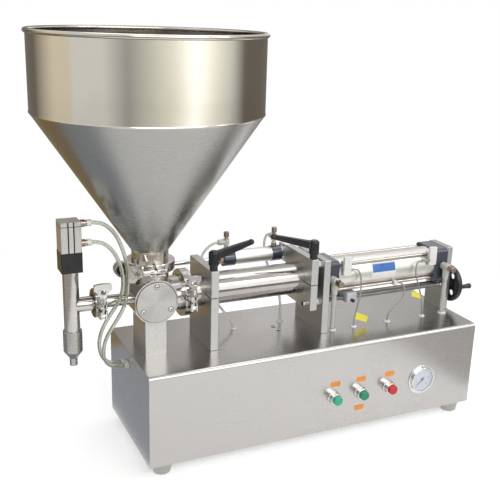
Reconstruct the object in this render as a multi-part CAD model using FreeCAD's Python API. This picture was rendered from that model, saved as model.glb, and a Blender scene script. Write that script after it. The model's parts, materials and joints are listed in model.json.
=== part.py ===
"""Bench piston filler: a stainless base, a cone hopper over a three-way valve,
a filling cylinder driven by an air cylinder, and a shut-off nozzle."""
import FreeCAD, Part
import math
import os

V = FreeCAD.Vector
X, Y, Z = V(1, 0, 0), V(0, 1, 0), V(0, 0, 1)

# Base, in millimetres
base_length = 800.0
base_depth = 280.0
base_height = 200.0
base_bend = 8.0
sheet = 2.0
foot_height = 27.0
foot_radius = 23.0
foot_inset_x = 34.0
foot_inset_y = 26.0
foot_bolt_radius = 4.0
foot_bolt_rise = 9.0
foot_taper = 5.0
foot_sole_round = 6.0

# Clearances
fit = 0.05
slip = 0.2
free = 0.3

# The middle of the valve, from which the machine is laid out along X
valve_x = -283.0
axis_above_deck = 117.0

# Three-way valve
valve_inset = 49.0
valve_radius = 47.0
valve_half_width = 45.0
valve_front = -42.0
valve_back = 48.0
cover_radius = 43.0
cover_thickness = 3.0
cover_screw_throw = 34.0
cover_screw_head = 4.5
cover_screw_radius = 2.0
cover_screw_grip = 8.0
rotor_radius = 30.0
port_radius = 14.0
shaft_radius = 11.0
seal_ring = 6.0
seal_ring_height = 4.0
pedestal_width = 46.0
pedestal_front = -37.0
pedestal_back = 50.0
pedestal_joint = 37.0

# Ferrules and their clamps
ferrule_radius = 45.5
ferrule_thickness = 6.4
ferrule_slope = 3.0
neck_radius = 38.0
neck_wall = 1.5
seal_thickness = 2.0
branch_reach = 72.0
small_ferrule_radius = 25.2
small_branch_reach = 111.0
branch_radius = 12.5
branch_bore = 10.5
clamp_wall = 5.0
clamp_width = 20.0
clamp_bolt_radius = 3.5
clamp_pin_radius = 2.5
knuckle_radius = 5.5
knuckle_rise = 3.0
ear_thickness = 9.0
ear_gap = 6.0
ear_reach = 13.0
ear_half_width = 8.0
fork_drop = 7.0
hopper_clamp_turn = -8.0
cylinder_nut_turn = 24.0
wing_thickness = 7.0
wing_neck = 6.0
wing_span = 18.0
wing_start = 14.0
wing_length = 42.0
wing_hole = 5.5
wing_hole_drop = 17.0
wing_hub = 7.5

# Hopper
hopper_radius = 226.0
hopper_wall = 1.5
hopper_neck = 30.0
hopper_cone = 279.0
hopper_band = 153.0
bead_radius = 4.5

# Filling cylinder and its two split plates
tube_radius = 35.0
tube_wall = 2.5
plate_depth = 126.0
plate_thickness = 17.5
plate_round = 1.5
plate_reach = 59.0
plate_left_gap = 39.0
plate_spacing = 235.0
slit = 2.0
jaw_screw_y = -52.0
jaw_screw_radius = 4.0
jaw_screw_drop = 28.0
foot_screw_y = 40.0
foot_screw_radius = 3.0
joining_radius = 4.0
joining_thread = 12.0
joining_head_radius = 6.5
joining_head = 8.0
joining_inset_y = 21.0
joining_inset_low = 12.0
joining_inset_high = 18.0
spacer_radius = 7.0
piston_length = 30.0
piston_ring = 3.0
rod_radius = 10.0

# Air cylinder between its mounting plate and the end plate
mount_gap = 14.5
mount_plate_thickness = 16.0
mount_plate_reach = 53.0
cap_size = 80.0
cap_corner = 9.0
front_cap_length = 37.0
barrel_length = 264.0
rear_cap_length = 36.0
barrel_radius = 38.0
barrel_wall = 3.0
tie_rod_radius = 3.5
tie_rod_offset = 30.0
air_piston_length = 22.0
end_plate_thickness = 17.0
end_plate_depth = 70.0
end_plate_reach = 41.0

# Stroke setting: lead screw, guide rod, stop block and handwheel
screw_radius = 5.0
screw_y = -22.0
screw_drop = 55.0
screw_seat = 12.0
screw_collar_radius = 8.0
screw_collar = 6.0
guide_radius = 4.5
guide_y = 0.0
guide_drop = 57.0
guide_seat = 10.0
block_from_plate = 79.0
block_length = 26.0
block_front = -37.0
block_back = 10.0
block_low = 63.5
block_high = 40.0
block_knob_radius = 4.0
block_knob = 7.0
wheel_radius = 45.0
wheel_gap = 4.0
wheel_thickness = 12.0
wheel_hub = 12.0
wheel_rim = 9.0
wheel_web = 4.0
wheel_window = 7.0
wheel_window_throw = 24.0
grip_radius = 6.5
grip_length = 30.0
grip_throw = 36.0
grip_pin_radius = 2.5

# Valve cylinder behind the filling cylinder
crank_rise = 37.5
valve_rod_y = 78.0
valve_rod_radius = 5.0
eye_radius = 17.0
eye_thickness = 10.0
eye_gap = 2.0
crank_pin_radius = 5.0
crank_thickness = 8.0
slot_half = 8.5
crank_wall = 7.0
small_length = 161.0
nose_length = 9.0
nose_across = 24.0
small_cap_length = 27.0
small_cap_radius = 18.0
small_tube_radius = 16.5
small_bore = 14.5
small_piston_length = 12.0
small_rear_cap = 24.0
small_rear_nut = 9.0
control_inset = 9.0
control_radius = 6.0
control_height = 44.0
control_arm_height = 20.5
control_arm = 20.0
bracket_thickness = 6.0
bracket_half_height = 20.0
stud_radius = 6.0

# Shut-off nozzle
nozzle_reach = 53.0
nozzle_radius = 16.0
nozzle_bore = 13.0
nozzle_branch_radius = 15.0
collar_drop = 52.0
collar_length = 46.0
collar_radius = 19.3
cone_length = 14.0
tip_length = 16.0
tip_radius = 8.0
tip_bore = 6.0
adapter_rise = 74.0
adapter_height = 41.0
block_half = 20.5
block_height = 61.0
block_wall = 6.0
plunger_radius = 4.0
plunger_piston = 12.5
plunger_piston_length = 14.0
lower_port = 13.0
upper_port = 53.0

# Clamping levers
lever_hub_radius = 11.0
lever_neck_radius = 8.5
lever_neck = 9.0
lever_height = 42.0
lever_length = 90.0
lever_rise = 16.0
lever_root_height = 17.0
lever_root_half = 7.0
lever_tip_height = 10.0
lever_tip_half = 4.0
lever_knob = 6.0
left_lever_angle = 7.0
right_lever_angle = 160.0

# Front panel
button_spots = (421.0, 489.0, 564.0)
button_height = 82.0
bezel_radius = 14.5
bezel_depth = 17.0
button_radius = 10.6
button_stand = 26.0
button_body_radius = 11.0
button_body_depth = 38.0
gauge_spot = 657.0
gauge_height = 83.0
gauge_flange_radius = 36.0
gauge_flange = 2.0
gauge_rim_radius = 30.0
gauge_rim_depth = 8.0
gauge_body_radius = 25.0
gauge_body_depth = 30.0
gauge_screw_throw = 33.0
gauge_screw_head = 2.6
gauge_screw_radius = 1.5
needle_length = 19.0
needle_tail = 7.0
needle_turn = -135.0

# Cords and their outlets: along X from the left plate, or from either cap of the air
# cylinder
hose_radius = 4.0
thin_radius = 3.0
main_tube_radius = 5.5
wire_radius = 1.75
deck_front_row = -52.0
deck_back_row = 36.0
front_spots = (19.0, 75.5, 167.0)
rear_spots = (-35.5, 24.0)
back_spots = (95.5, 213.0)
plug_spots = ((186.0, 14.0), (188.0, -7.0))
plug_radius = 3.5
side_spots = ((2.0, 32.0), (26.0, 34.0))
gland_flange = 8.0
gland_flange_big = 9.5
gland_height = 3.0
gland_depth = 9.0
gland_wall = 2.0
side_gland_length = 9.0

# Position sensors
sensor_from_front = 45.0
sensor_from_rear = 22.0
sensor_width = 20.0
sensor_gap = 1.0
sensor_thickness = 7.0
sensor_low = 6.0
sensor_high = 50.0
hook_half = 7.0
switch_radius = 4.0
switch_drop = 10.0
switch_reach = 22.0
clip_spot = 189.0
clip_width = 9.0
clip_half = 5.5

# Control unit and air valves inside the base
unit_from_left = 120.0
unit_length = 190.0
unit_front = -20.0
unit_depth = 120.0
unit_height = 90.0
manifold_gap = 70.0
manifold_length = 150.0
manifold_front = 10.0
manifold_depth = 50.0
manifold_height = 35.0
coil_pitch = 36.0
coil_width = 26.0
coil_depth = 40.0
coil_height = 50.0

deck = foot_height + base_height
axis_z = deck + axis_above_deck
base_left = valve_x - valve_inset
base_right = base_left + base_length
front_face = -base_depth / 2
back_face = base_depth / 2
plate_front = -plate_depth / 2
plate_back = plate_depth / 2

hopper_joint = axis_z + branch_reach
hopper_neck_top = hopper_joint + hopper_neck
hopper_band_bottom = hopper_neck_top + hopper_cone
hopper_top = hopper_band_bottom + hopper_band
cylinder_joint = valve_x + branch_reach
nozzle_joint = valve_x - small_branch_reach
nozzle_x = nozzle_joint - nozzle_reach

plate_left_x = cylinder_joint + plate_left_gap
plate_middle_x = plate_left_x + plate_spacing
plate_low = axis_z - plate_reach
plate_high = axis_z + plate_reach
mount_plate_x = plate_middle_x + plate_thickness + mount_gap
front_cap_x = mount_plate_x + mount_plate_thickness
barrel_x = front_cap_x + front_cap_length
rear_cap_x = barrel_x + barrel_length
end_plate_x = rear_cap_x + rear_cap_length
wheel_x = end_plate_x + end_plate_thickness + wheel_gap
screw_z = axis_z - screw_drop
guide_z = axis_z - guide_drop
block_x = mount_plate_x + block_from_plate
block_bottom = axis_z - block_low
block_top = axis_z - block_high

crank_pin_z = axis_z + crank_rise
nose_x = plate_middle_x - small_length
small_tube_x = nose_x + nose_length + small_cap_length
small_rear_x = plate_middle_x - small_rear_nut - small_rear_cap
left_control_x = nose_x + nose_length + control_inset
right_control_x = small_rear_x + control_inset
control_z = crank_pin_z + small_cap_radius - free + control_arm_height

collar_top = axis_z - collar_drop
collar_bottom = collar_top - collar_length
tip_top = collar_bottom - cone_length
nozzle_bottom = tip_top - tip_length
adapter_bottom = axis_z + adapter_rise
adapter_top = adapter_bottom + adapter_height
block_end = adapter_top + block_height
lower_port_z = adapter_top + lower_port
upper_port_z = adapter_top + upper_port

button_x = tuple(base_left + spot for spot in button_spots)
button_z = foot_height + button_height
gauge_x = base_left + gauge_spot
gauge_z = foot_height + gauge_height
outlet_x = (tuple(front_cap_x + spot for spot in front_spots)
            + tuple(rear_cap_x + spot for spot in rear_spots))
outlet_radii = (main_tube_radius, wire_radius, wire_radius, wire_radius, main_tube_radius)
back_outlet_x = tuple(plate_left_x + spot for spot in back_spots)
side_outlets = tuple((y, deck - drop) for y, drop in side_spots)
sensor_x = (front_cap_x + sensor_from_front, rear_cap_x - sensor_from_rear)


def box(x0, x1, y0, y1, z0, z1):
    return Part.makeBox(x1 - x0, y1 - y0, z1 - z0, V(x0, y0, z0))


def rod(start, direction, radius, length):
    return Part.makeCylinder(radius, length, start, direction)


def ring(start, direction, outer, inner, length):
    return rod(start, direction, outer, length).cut(rod(start, direction, inner, length))


def lathe(profile, direction, place):
    """Turn a (radius, height) outline about the direction through a place."""
    points = [V(radius, 0, height) for radius, height in profile]
    face = Part.Face(Part.makePolygon(points + points[:1]))
    turned = face.revolve(V(0, 0, 0), Z, 360)
    spin = FreeCAD.Rotation(Z, direction)
    turned.Placement = FreeCAD.Placement(place, spin)
    return turned


def prism(points, direction, length):
    """Push a flat outline of vectors along a direction."""
    face = Part.Face(Part.makePolygon(points + points[:1]))
    return face.extrude(direction * length)


def hexagon(centre, direction, across, length):
    radius = across / math.sqrt(3)
    points = []
    for step in range(6):
        angle = math.radians(60 * step)
        points.append(V(radius * math.cos(angle), radius * math.sin(angle), 0))
    nut = prism(points, Z, length)
    nut.Placement = FreeCAD.Placement(centre, FreeCAD.Rotation(Z, direction))
    return nut


def rounded(solid, radius, wanted):
    edges = [edge for edge in solid.Edges if wanted(edge)]
    return solid.makeFillet(radius, edges)


def along(edge, direction):
    if not isinstance(edge.Curve, Part.Line):
        return False
    return abs(abs(edge.Curve.Direction.dot(direction)) - 1) < 1e-6


def join(solids):
    whole = solids[0].multiFuse(solids[1:]) if len(solids) > 1 else solids[0]
    return whole.removeSplitter()


def save(name, shapes):
    shape = shapes if not isinstance(shapes, list) else Part.makeCompound(shapes)
    shape.exportStep("parts/" + name + ".step")


# Base: a bent and welded sheet housing, its bottom plate and its feet

def foot_places():
    for x in (base_left + foot_inset_x, base_right - foot_inset_x):
        for y in (front_face + foot_inset_y, back_face - foot_inset_y):
            yield x, y


def base_blank(inset):
    blank = box(base_left + inset, base_right - inset, front_face + inset,
                back_face - inset, foot_height, deck - inset)
    bend = base_bend - inset
    return rounded(blank, bend, lambda edge: along(edge, X)
                   and edge.CenterOfMass.z > deck - inset - 1)


def base_housing():
    shell = base_blank(0).cut(base_blank(sheet))
    for x, y, radius in deck_outlets():
        shell = shell.cut(rod(V(x, y, deck - 2 * sheet), Z, radius, 3 * sheet))
    for x in button_x:
        shell = shell.cut(rod(V(x, front_face - 1, button_z), Y,
                              button_body_radius + slip, 3 * sheet))
    shell = shell.cut(rod(V(gauge_x, front_face - 1, gauge_z), Y,
                          gauge_body_radius + slip, 3 * sheet))
    for place in gauge_screw_places():
        shell = shell.cut(rod(place, Y, gauge_screw_radius, sheet))
    for y, z in side_outlets:
        shell = shell.cut(rod(V(base_left - 1, y, z), X, hose_radius + gland_wall, 3 * sheet))
    return shell


def bottom_plate():
    gap = sheet + slip
    plate = box(base_left + gap, base_right - gap, front_face + gap, back_face - gap,
                foot_height, foot_height + sheet)
    for x, y in foot_places():
        plate = plate.cut(rod(V(x, y, 0), Z, foot_bolt_radius + slip, deck))
    return plate


def levelling_feet():
    """Pressed steel cups that narrow to a rounded sole, each on a bolt."""
    feet = []
    for x, y in foot_places():
        cup = Part.makeCone(foot_radius - foot_taper, foot_radius, foot_height, V(x, y, 0))
        cup = rounded(cup, foot_sole_round, lambda edge: edge.BoundBox.ZMax < 1)
        feet.append(join([cup, rod(V(x, y, foot_height - 1), Z, foot_bolt_radius, foot_bolt_rise + 1)]))
    return feet


# Outlets for tubes and wires in the deck and in the left side

def deck_glands():
    """Every cord outlet in the deck as x, y and the radius of its cord."""
    for x, radius in zip(outlet_x, outlet_radii):
        yield x, deck_front_row, radius
    for x in back_outlet_x:
        yield x, deck_back_row, thin_radius


def deck_plugs():
    for spot, y in plug_spots:
        yield plate_left_x + spot, y


def deck_outlets():
    for x, y, radius in deck_glands():
        yield x, y, radius + gland_wall
    for x, y in deck_plugs():
        yield x, y, plug_radius


def deck_grommets():
    glands = []
    for x, y, radius in deck_glands():
        flange = gland_flange_big if radius > hose_radius else gland_flange
        profile = [(radius + slip, -gland_depth), (radius + gland_wall, -gland_depth),
                   (radius + gland_wall, 0), (flange, 0), (flange, 1),
                   (flange - 2, gland_height), (radius + slip, gland_height)]
        glands.append(lathe(profile, Z, V(x, y, deck)))
    for x, y in deck_plugs():
        profile = [(0, -gland_depth), (plug_radius, -gland_depth), (plug_radius, 0),
                   (plug_radius + 2, 0), (plug_radius + 2, 1), (plug_radius, 2),
                   (plug_radius - 1, 2), (plug_radius - 1, -2), (0, -2)]
        glands.append(lathe(profile, Z, V(x, y, deck)))
    return glands


# Pedestal: a plain block, and a block with a cradle that the round valve lies in

def pedestal_blocks():
    left = valve_x - pedestal_width / 2
    right = valve_x + pedestal_width / 2
    joint = deck + pedestal_joint
    lower = box(left, right, pedestal_front, pedestal_back, deck, joint)
    upper = box(left, right, pedestal_front, pedestal_back, joint, axis_z)
    upper = upper.cut(rod(V(valve_x, valve_front - 1, axis_z), Y, valve_radius,
                          valve_back - valve_front + 9))
    return [rounded(lower, 1, lambda edge: along(edge, Z)),
            rounded(upper, 1, lambda edge: along(edge, Z))]


# Three-way valve: round body with flats, a T-bored rotor, covers and a crank

def ferrule(direction, face_place, outer, bore, neck, length):
    """A clamp ferrule whose flat face lies at the place and whose neck runs along
    the direction for a length."""
    rim = ferrule_thickness - ferrule_slope
    profile = [(bore, 0), (outer, 0), (outer, rim), (outer - ferrule_slope * 2.5, ferrule_thickness),
               (neck, ferrule_thickness), (neck, length), (bore, length)]
    return lathe(profile, direction, face_place)


def cover_screw_places():
    for step in range(3):
        angle = math.radians(90 + 120 * step)
        yield V(valve_x + cover_screw_throw * math.cos(angle), valve_front,
                axis_z + cover_screw_throw * math.sin(angle))


def gauge_screw_places():
    for step in range(3):
        angle = math.radians(90 + 120 * step)
        yield V(gauge_x + gauge_screw_throw * math.cos(angle), front_face,
                gauge_z + gauge_screw_throw * math.sin(angle))


def button_screw(place, head, radius, plate, grip):
    """A domed screw with a socket, through a plate in front of the place."""
    profile = [(0, -grip), (radius, -grip), (radius, plate), (head, plate),
               (head, plate + 0.3 * head), (0.7 * head, plate + 0.55 * head),
               (0.4 * head, plate + 0.55 * head), (0.4 * head, plate + 0.1), (0, plate + 0.1)]
    return lathe(profile, -Y, place)


def button_screws():
    screws = [button_screw(place, cover_screw_head, cover_screw_radius, cover_thickness,
                           cover_screw_grip) for place in cover_screw_places()]
    screws += [button_screw(place, gauge_screw_head, gauge_screw_radius, gauge_flange,
                            2 * sheet) for place in gauge_screw_places()]
    return screws


def valve_body():
    length = valve_back - valve_front
    body = rod(V(valve_x, valve_front, axis_z), Y, valve_radius, length)
    body = body.common(box(valve_x - valve_half_width, valve_x + valve_half_width,
                           valve_front, valve_back, 0, hopper_top))
    top_face = hopper_joint - seal_thickness / 2
    right_face = cylinder_joint - seal_thickness / 2
    left_face = nozzle_joint + seal_thickness / 2
    top = ferrule(-Z, V(valve_x, 0, top_face), ferrule_radius, port_radius, neck_radius,
                  top_face - axis_z - rotor_radius)
    right = ferrule(-X, V(right_face, 0, axis_z), ferrule_radius, port_radius, neck_radius,
                    right_face - valve_x - rotor_radius)
    left = ferrule(X, V(left_face, 0, axis_z), small_ferrule_radius, branch_bore,
                   branch_radius, valve_x - rotor_radius - left_face)
    body = join([body, top, right, left])
    body = body.cut(rod(V(valve_x, valve_front, axis_z), Y, rotor_radius + fit, length))
    funnel = Part.makeCone(port_radius, neck_radius - neck_wall, top_face - axis_z - rotor_radius,
                           V(valve_x, 0, axis_z + rotor_radius), Z)
    bore_left = rod(V(left_face, 0, axis_z), X, branch_bore, valve_x - left_face)
    bore_right = rod(V(valve_x, 0, axis_z), X, port_radius, right_face - valve_x)
    bore_top = rod(V(valve_x, 0, axis_z), Z, port_radius, top_face - axis_z)
    screw_holes = [rod(place, Y, cover_screw_radius, cover_screw_grip)
                   for place in cover_screw_places()]
    for hole in [funnel, bore_left, bore_right, bore_top] + screw_holes:
        body = body.cut(hole)
    return body


def valve_covers():
    front = lathe([(0, 0), (cover_radius, 0), (cover_radius, cover_thickness - 1),
                   (cover_radius - 1, cover_thickness), (0, cover_thickness)],
                  -Y, V(valve_x, valve_front, axis_z))
    for place in cover_screw_places():
        front = front.cut(rod(place, -Y, cover_screw_radius + slip, cover_thickness))
    hole = shaft_radius + fit
    back = lathe([(hole, 0), (cover_radius, 0), (cover_radius, cover_thickness),
                  (hole + seal_ring, cover_thickness),
                  (hole + seal_ring, cover_thickness + seal_ring_height),
                  (hole, cover_thickness + seal_ring_height)],
                 Y, V(valve_x, valve_back, axis_z))
    return [front, back]


def crank_front():
    return valve_rod_y + eye_thickness / 2 + eye_gap


def valve_rotor():
    """A plug with a through port and a side port that meet in a T."""
    plug_length = valve_back - valve_front - 2 * slip
    plug = rod(V(valve_x, valve_front + slip, axis_z), Y, rotor_radius, plug_length)
    through = rod(V(valve_x, 0, axis_z - rotor_radius), Z, port_radius, 2 * rotor_radius)
    side = rod(V(valve_x, 0, axis_z), X, port_radius, rotor_radius)
    shaft = rod(V(valve_x, valve_back - 1, axis_z), Y, shaft_radius,
                crank_front() + crank_thickness - valve_back + 1)
    return join([plug, shaft]).cut(through).cut(side)


def crank_arm():
    """A slotted arm, square on the valve shaft, that the rod's pin turns."""
    outer = slot_half + crank_wall
    inner_reach = crank_rise - 1
    outer_reach = crank_rise * math.sqrt(2) + 0.5
    place = V(valve_x, crank_front(), axis_z)
    hub = rod(place, Y, shaft_radius + crank_wall, crank_thickness)
    tip = rod(place + Z * outer_reach, Y, outer, crank_thickness)
    bar = box(valve_x - outer, valve_x + outer, crank_front(),
              crank_front() + crank_thickness, axis_z, axis_z + outer_reach)
    arm = join([hub, tip, bar])
    arm = arm.cut(rod(place, Y, shaft_radius, crank_thickness))
    slot = join([rod(place + Z * inner_reach, Y, slot_half, crank_thickness),
                 rod(place + Z * outer_reach, Y, slot_half, crank_thickness),
                 box(valve_x - slot_half, valve_x + slot_half, crank_front(),
                     crank_front() + crank_thickness, axis_z + inner_reach,
                     axis_z + outer_reach)])
    arm = arm.cut(slot)
    arm.rotate(place, Y, -45)
    return arm


# Valve cylinder and its rod

def valve_cylinder():
    place = V(nose_x, valve_rod_y, crank_pin_z)
    cap_x = nose_x + nose_length
    nut_x = plate_middle_x - small_rear_nut
    nose = hexagon(place, X, nose_across, nose_length)
    front = rod(V(cap_x, valve_rod_y, crank_pin_z), X, small_cap_radius, small_cap_length)
    barrel = rod(V(small_tube_x, valve_rod_y, crank_pin_z), X, small_tube_radius,
                 small_rear_x - small_tube_x)
    rear = rod(V(small_rear_x, valve_rod_y, crank_pin_z), X, small_cap_radius, small_rear_cap)
    lock_nut = hexagon(V(nut_x, valve_rod_y, crank_pin_z), X, nose_across, small_rear_nut)
    stud = rod(V(plate_middle_x, valve_rod_y, crank_pin_z), X, stud_radius,
               bracket_thickness + 2)
    nut = hexagon(V(plate_middle_x + bracket_thickness, valve_rod_y, crank_pin_z), X,
                  3 * stud_radius, stud_radius + 1)
    body = join([nose, front, barrel, rear, lock_nut, stud, nut])
    body = body.cut(rod(V(small_tube_x, valve_rod_y, crank_pin_z), X, small_bore,
                        small_rear_x - small_tube_x))
    return body.cut(rod(place, X, valve_rod_radius + fit, small_tube_x - nose_x))


def valve_cylinder_rod():
    pin_x = valve_x - crank_rise
    eye = rod(V(pin_x, valve_rod_y - eye_thickness / 2, crank_pin_z), Y, eye_radius, eye_thickness)
    eye = rounded(eye, 1.2, lambda edge: True)
    pin = rod(V(pin_x, valve_rod_y, crank_pin_z), Y, crank_pin_radius,
              eye_thickness / 2 + eye_gap + crank_thickness + 2)
    shaft = rod(V(pin_x + eye_radius - 4, valve_rod_y, crank_pin_z), X, valve_rod_radius,
                small_tube_x - pin_x - eye_radius + 6)
    neck = hexagon(V(pin_x + eye_radius - 3, valve_rod_y, crank_pin_z), X,
                   2.4 * valve_rod_radius, 14)
    piston = rod(V(small_tube_x + slip, valve_rod_y, crank_pin_z), X, small_bore - fit,
                 small_piston_length)
    return join([eye, pin, shaft, neck, piston])


def cylinder_bracket():
    """An angle bolted to the back edge of the middle plate."""
    low = crank_pin_z - bracket_half_height
    high = crank_pin_z + bracket_half_height
    reach = valve_rod_y + bracket_half_height
    right = plate_middle_x + plate_thickness
    flange = box(plate_middle_x, right, plate_back, plate_back + bracket_thickness, low, high)
    leg = box(plate_middle_x, plate_middle_x + bracket_thickness, plate_back, reach, low, high)
    leg = rounded(leg, 6, lambda edge: along(edge, X) and edge.CenterOfMass.y > reach - 1)
    hole = rod(V(plate_middle_x, valve_rod_y, crank_pin_z), X, stud_radius + slip,
               bracket_thickness)
    return join([flange, leg]).cut(hole)


def flow_controls():
    """A turned stem with a knurled knob, and a side arm that the tube pushes into."""
    tube_hole = thin_radius + slip
    controls = []
    for x, side in ((left_control_x, -X), (right_control_x, Y)):
        foot = V(x, valve_rod_y, control_z - control_arm_height)
        stem = lathe([(0, 0), (control_radius, 0), (control_radius, 8), (4.5, 8), (4.5, 14),
                      (7, 14), (7, 27), (4, 27), (4, 32), (control_radius, 32),
                      (control_radius, control_height - 1), (5, control_height),
                      (0, control_height)], Z, foot)
        arm = lathe([(0, 4), (6.5, 4), (6.5, control_arm - 4), (5.5, control_arm),
                     (tube_hole, control_arm), (tube_hole, control_arm - 6),
                     (0, control_arm - 6)], side, V(x, valve_rod_y, control_z))
        controls.append(join([stem, arm]))
    caps = rod(V(nose_x, valve_rod_y, crank_pin_z), X, small_cap_radius,
               plate_middle_x - nose_x)
    return [control.cut(caps) for control in controls]


# Clamps: two grooved halves on a hinge pin, closed by an eye bolt that swings in
# slotted ears. They are built with the ring's axis along X and the bolt along +Z.

def clamp_outer(flange):
    return flange + clamp_wall


def bolt_reach(flange):
    return clamp_outer(flange) + ear_reach


def clamp_band(flange):
    """The whole grooved ring that the two halves are cut from."""
    outer = clamp_outer(flange)
    half = clamp_width / 2
    groove = ferrule_thickness + seal_thickness / 2 + free
    shoulder = groove - ferrule_slope
    root = flange - ferrule_slope * 2.5 + free
    profile = [(root, -half), (outer - 1, -half), (outer, 1 - half), (outer, half - 1),
               (outer - 1, half), (root, half), (root, groove), (flange + free, shoulder),
               (flange + free, -shoulder), (root, -groove)]
    return lathe(profile, X, V(0, 0, 0))


def clamp_ear(flange, low, high, slot_depth):
    """An ear with an open slot for the bolt between two rounded prongs."""
    reach = bolt_reach(flange)
    front = -reach - ear_half_width
    ear = box(-ear_half_width, ear_half_width, front, 3 - clamp_outer(flange), low, high)
    ear = rounded(ear, ear_half_width / 2, lambda edge: along(edge, Z)
                  and edge.CenterOfMass.y < -reach)
    half_slot = clamp_bolt_radius + slip
    return ear.cut(box(-half_slot, half_slot, front, slot_depth - reach, low, high))


def clamp_pieces(flange):
    outer = clamp_outer(flange)
    reach = bolt_reach(flange)
    half_gap = ear_gap / 2
    fork_low = -half_gap - ear_thickness - fork_drop
    eye_z = fork_low + 2 * clamp_pin_radius
    band = clamp_band(flange)
    upper = box(-clamp_width, clamp_width, -2 * outer, 2 * outer, 0, 2 * outer)
    lower = upper.mirror(V(0, 0, 0), Z)
    mouth = box(-clamp_width, clamp_width, -2 * outer, 0, -half_gap, half_gap)
    ears = (clamp_ear(flange, half_gap, half_gap + ear_thickness, clamp_bolt_radius + slip),
            clamp_ear(flange, fork_low, -half_gap, knuckle_radius + free)
            .cut(rod(V(-clamp_width, -reach, eye_z), X, clamp_pin_radius + fit,
                     2 * clamp_width)))
    hinge_y = outer + knuckle_rise
    left_start = -knuckle_radius - 0.5
    halves = []
    for cutter, ear, own_x, other_x in ((upper, ears[0], left_start, free),
                                        (lower, ears[1], 0.5, left_start)):
        arc = band.common(cutter).cut(mouth)
        half_ring = join([arc, ear])
        room = rod(V(other_x, hinge_y, 0), X, knuckle_radius + free, knuckle_radius + 0.4)
        knuckle = rod(V(own_x, hinge_y, 0), X, knuckle_radius, knuckle_radius)
        half_ring = join([half_ring.cut(room), knuckle])
        halves.append(half_ring.cut(rod(V(-clamp_width, hinge_y, 0), X,
                                        clamp_pin_radius - 0.5 + slip, 2 * clamp_width)))
    pin = rod(V(-7.5, hinge_y, 0), X, clamp_pin_radius - 0.5, 15)
    cross = rod(V(-ear_half_width - 0.5, -reach, eye_z), X, clamp_pin_radius,
                2 * ear_half_width + 1)
    eye = rod(V(-clamp_bolt_radius, -reach, eye_z), X, knuckle_radius, 2 * clamp_bolt_radius)
    shank = rod(V(0, -reach, eye_z), Z, clamp_bolt_radius,
                half_gap + ear_thickness + wing_start - eye_z)
    return halves + [pin, join([cross, eye, shank])]


def wing_nut(flange, turn):
    """A cast nut that opens into one fan-shaped wing with a finger hole."""
    low = ear_gap / 2 + ear_thickness + slip
    neck_end = low + wing_start
    root = neck_end - 4
    crown = low + wing_length
    shoulder = crown - 2
    flank_top = crown - 13
    half = wing_thickness / 2
    waist = wing_neck + 3
    right_flank = Part.Arc(V(wing_neck, -half, root), V(waist, -half, neck_end + 6),
                           V(wing_span, -half, flank_top)).toShape()
    left_flank = Part.Arc(V(-wing_span, -half, flank_top), V(-waist, -half, neck_end + 6),
                          V(-wing_neck, -half, root)).toShape()
    top = Part.Arc(V(wing_span, -half, shoulder), V(0, -half, crown),
                   V(-wing_span, -half, shoulder)).toShape()
    right_side = Part.LineSegment(V(wing_span, -half, flank_top),
                                  V(wing_span, -half, shoulder)).toShape()
    left_side = Part.LineSegment(V(-wing_span, -half, shoulder),
                                 V(-wing_span, -half, flank_top)).toShape()
    bottom = Part.LineSegment(V(-wing_neck, -half, root), V(wing_neck, -half, root)).toShape()
    outline = Part.Wire([right_flank, right_side, top, left_side, left_flank, bottom])
    fan = Part.Face(outline).extrude(Y * wing_thickness)
    fan = rounded(fan, 4, lambda edge: along(edge, Y) and edge.CenterOfMass.z > crown - 5)
    hole_z = crown - wing_hole_drop
    boss = rod(V(0, -half - 1, hole_z), Y, wing_hole + 3.5, wing_thickness + 2)
    hub = lathe([(0, low), (wing_hub, low), (wing_hub - 1, neck_end), (0, neck_end)], Z,
                V(0, 0, 0))
    nut = join([fan, boss, hub]).cut(rod(V(0, -half - 1, hole_z), Y, wing_hole,
                                         wing_thickness + 2))
    nut = nut.cut(rod(V(0, 0, 0), Z, clamp_bolt_radius + fit, neck_end))
    nut.rotate(V(0, 0, 0), Z, turn)
    nut.translate(V(0, -bolt_reach(flange), 0))
    return nut


def set_clamp(shape, place, upright):
    """Put a clamp shape at its place; an upright one has its ring axis along Z."""
    shape = shape.copy()
    if upright:
        shape.rotate(V(0, 0, 0), Y, -90)
        shape.rotate(V(0, 0, 0), Z, hopper_clamp_turn)
    shape.translate(place)
    return shape


clamp_seats = {
    "hopper": (ferrule_radius, V(valve_x, 0, hopper_joint), True, 0.0),
    "cylinder": (ferrule_radius, V(cylinder_joint, 0, axis_z), False, cylinder_nut_turn),
    "nozzle": (small_ferrule_radius, V(nozzle_joint, 0, axis_z), False, 0.0),
}


def clamp_seals():
    half = seal_thickness / 2
    seals = [ring(V(valve_x, 0, hopper_joint - half), Z, ferrule_radius - 4,
                  neck_radius - neck_wall, seal_thickness),
             ring(V(cylinder_joint - half, 0, axis_z), X, ferrule_radius - 4,
                  tube_radius - tube_wall, seal_thickness),
             ring(V(nozzle_joint - half, 0, axis_z), X, small_ferrule_radius - 3,
                  branch_bore, seal_thickness)]
    return seals


# Hopper: a ferrule with its neck, a cone, and a band with a rolled rim, welded
# end to end

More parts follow.
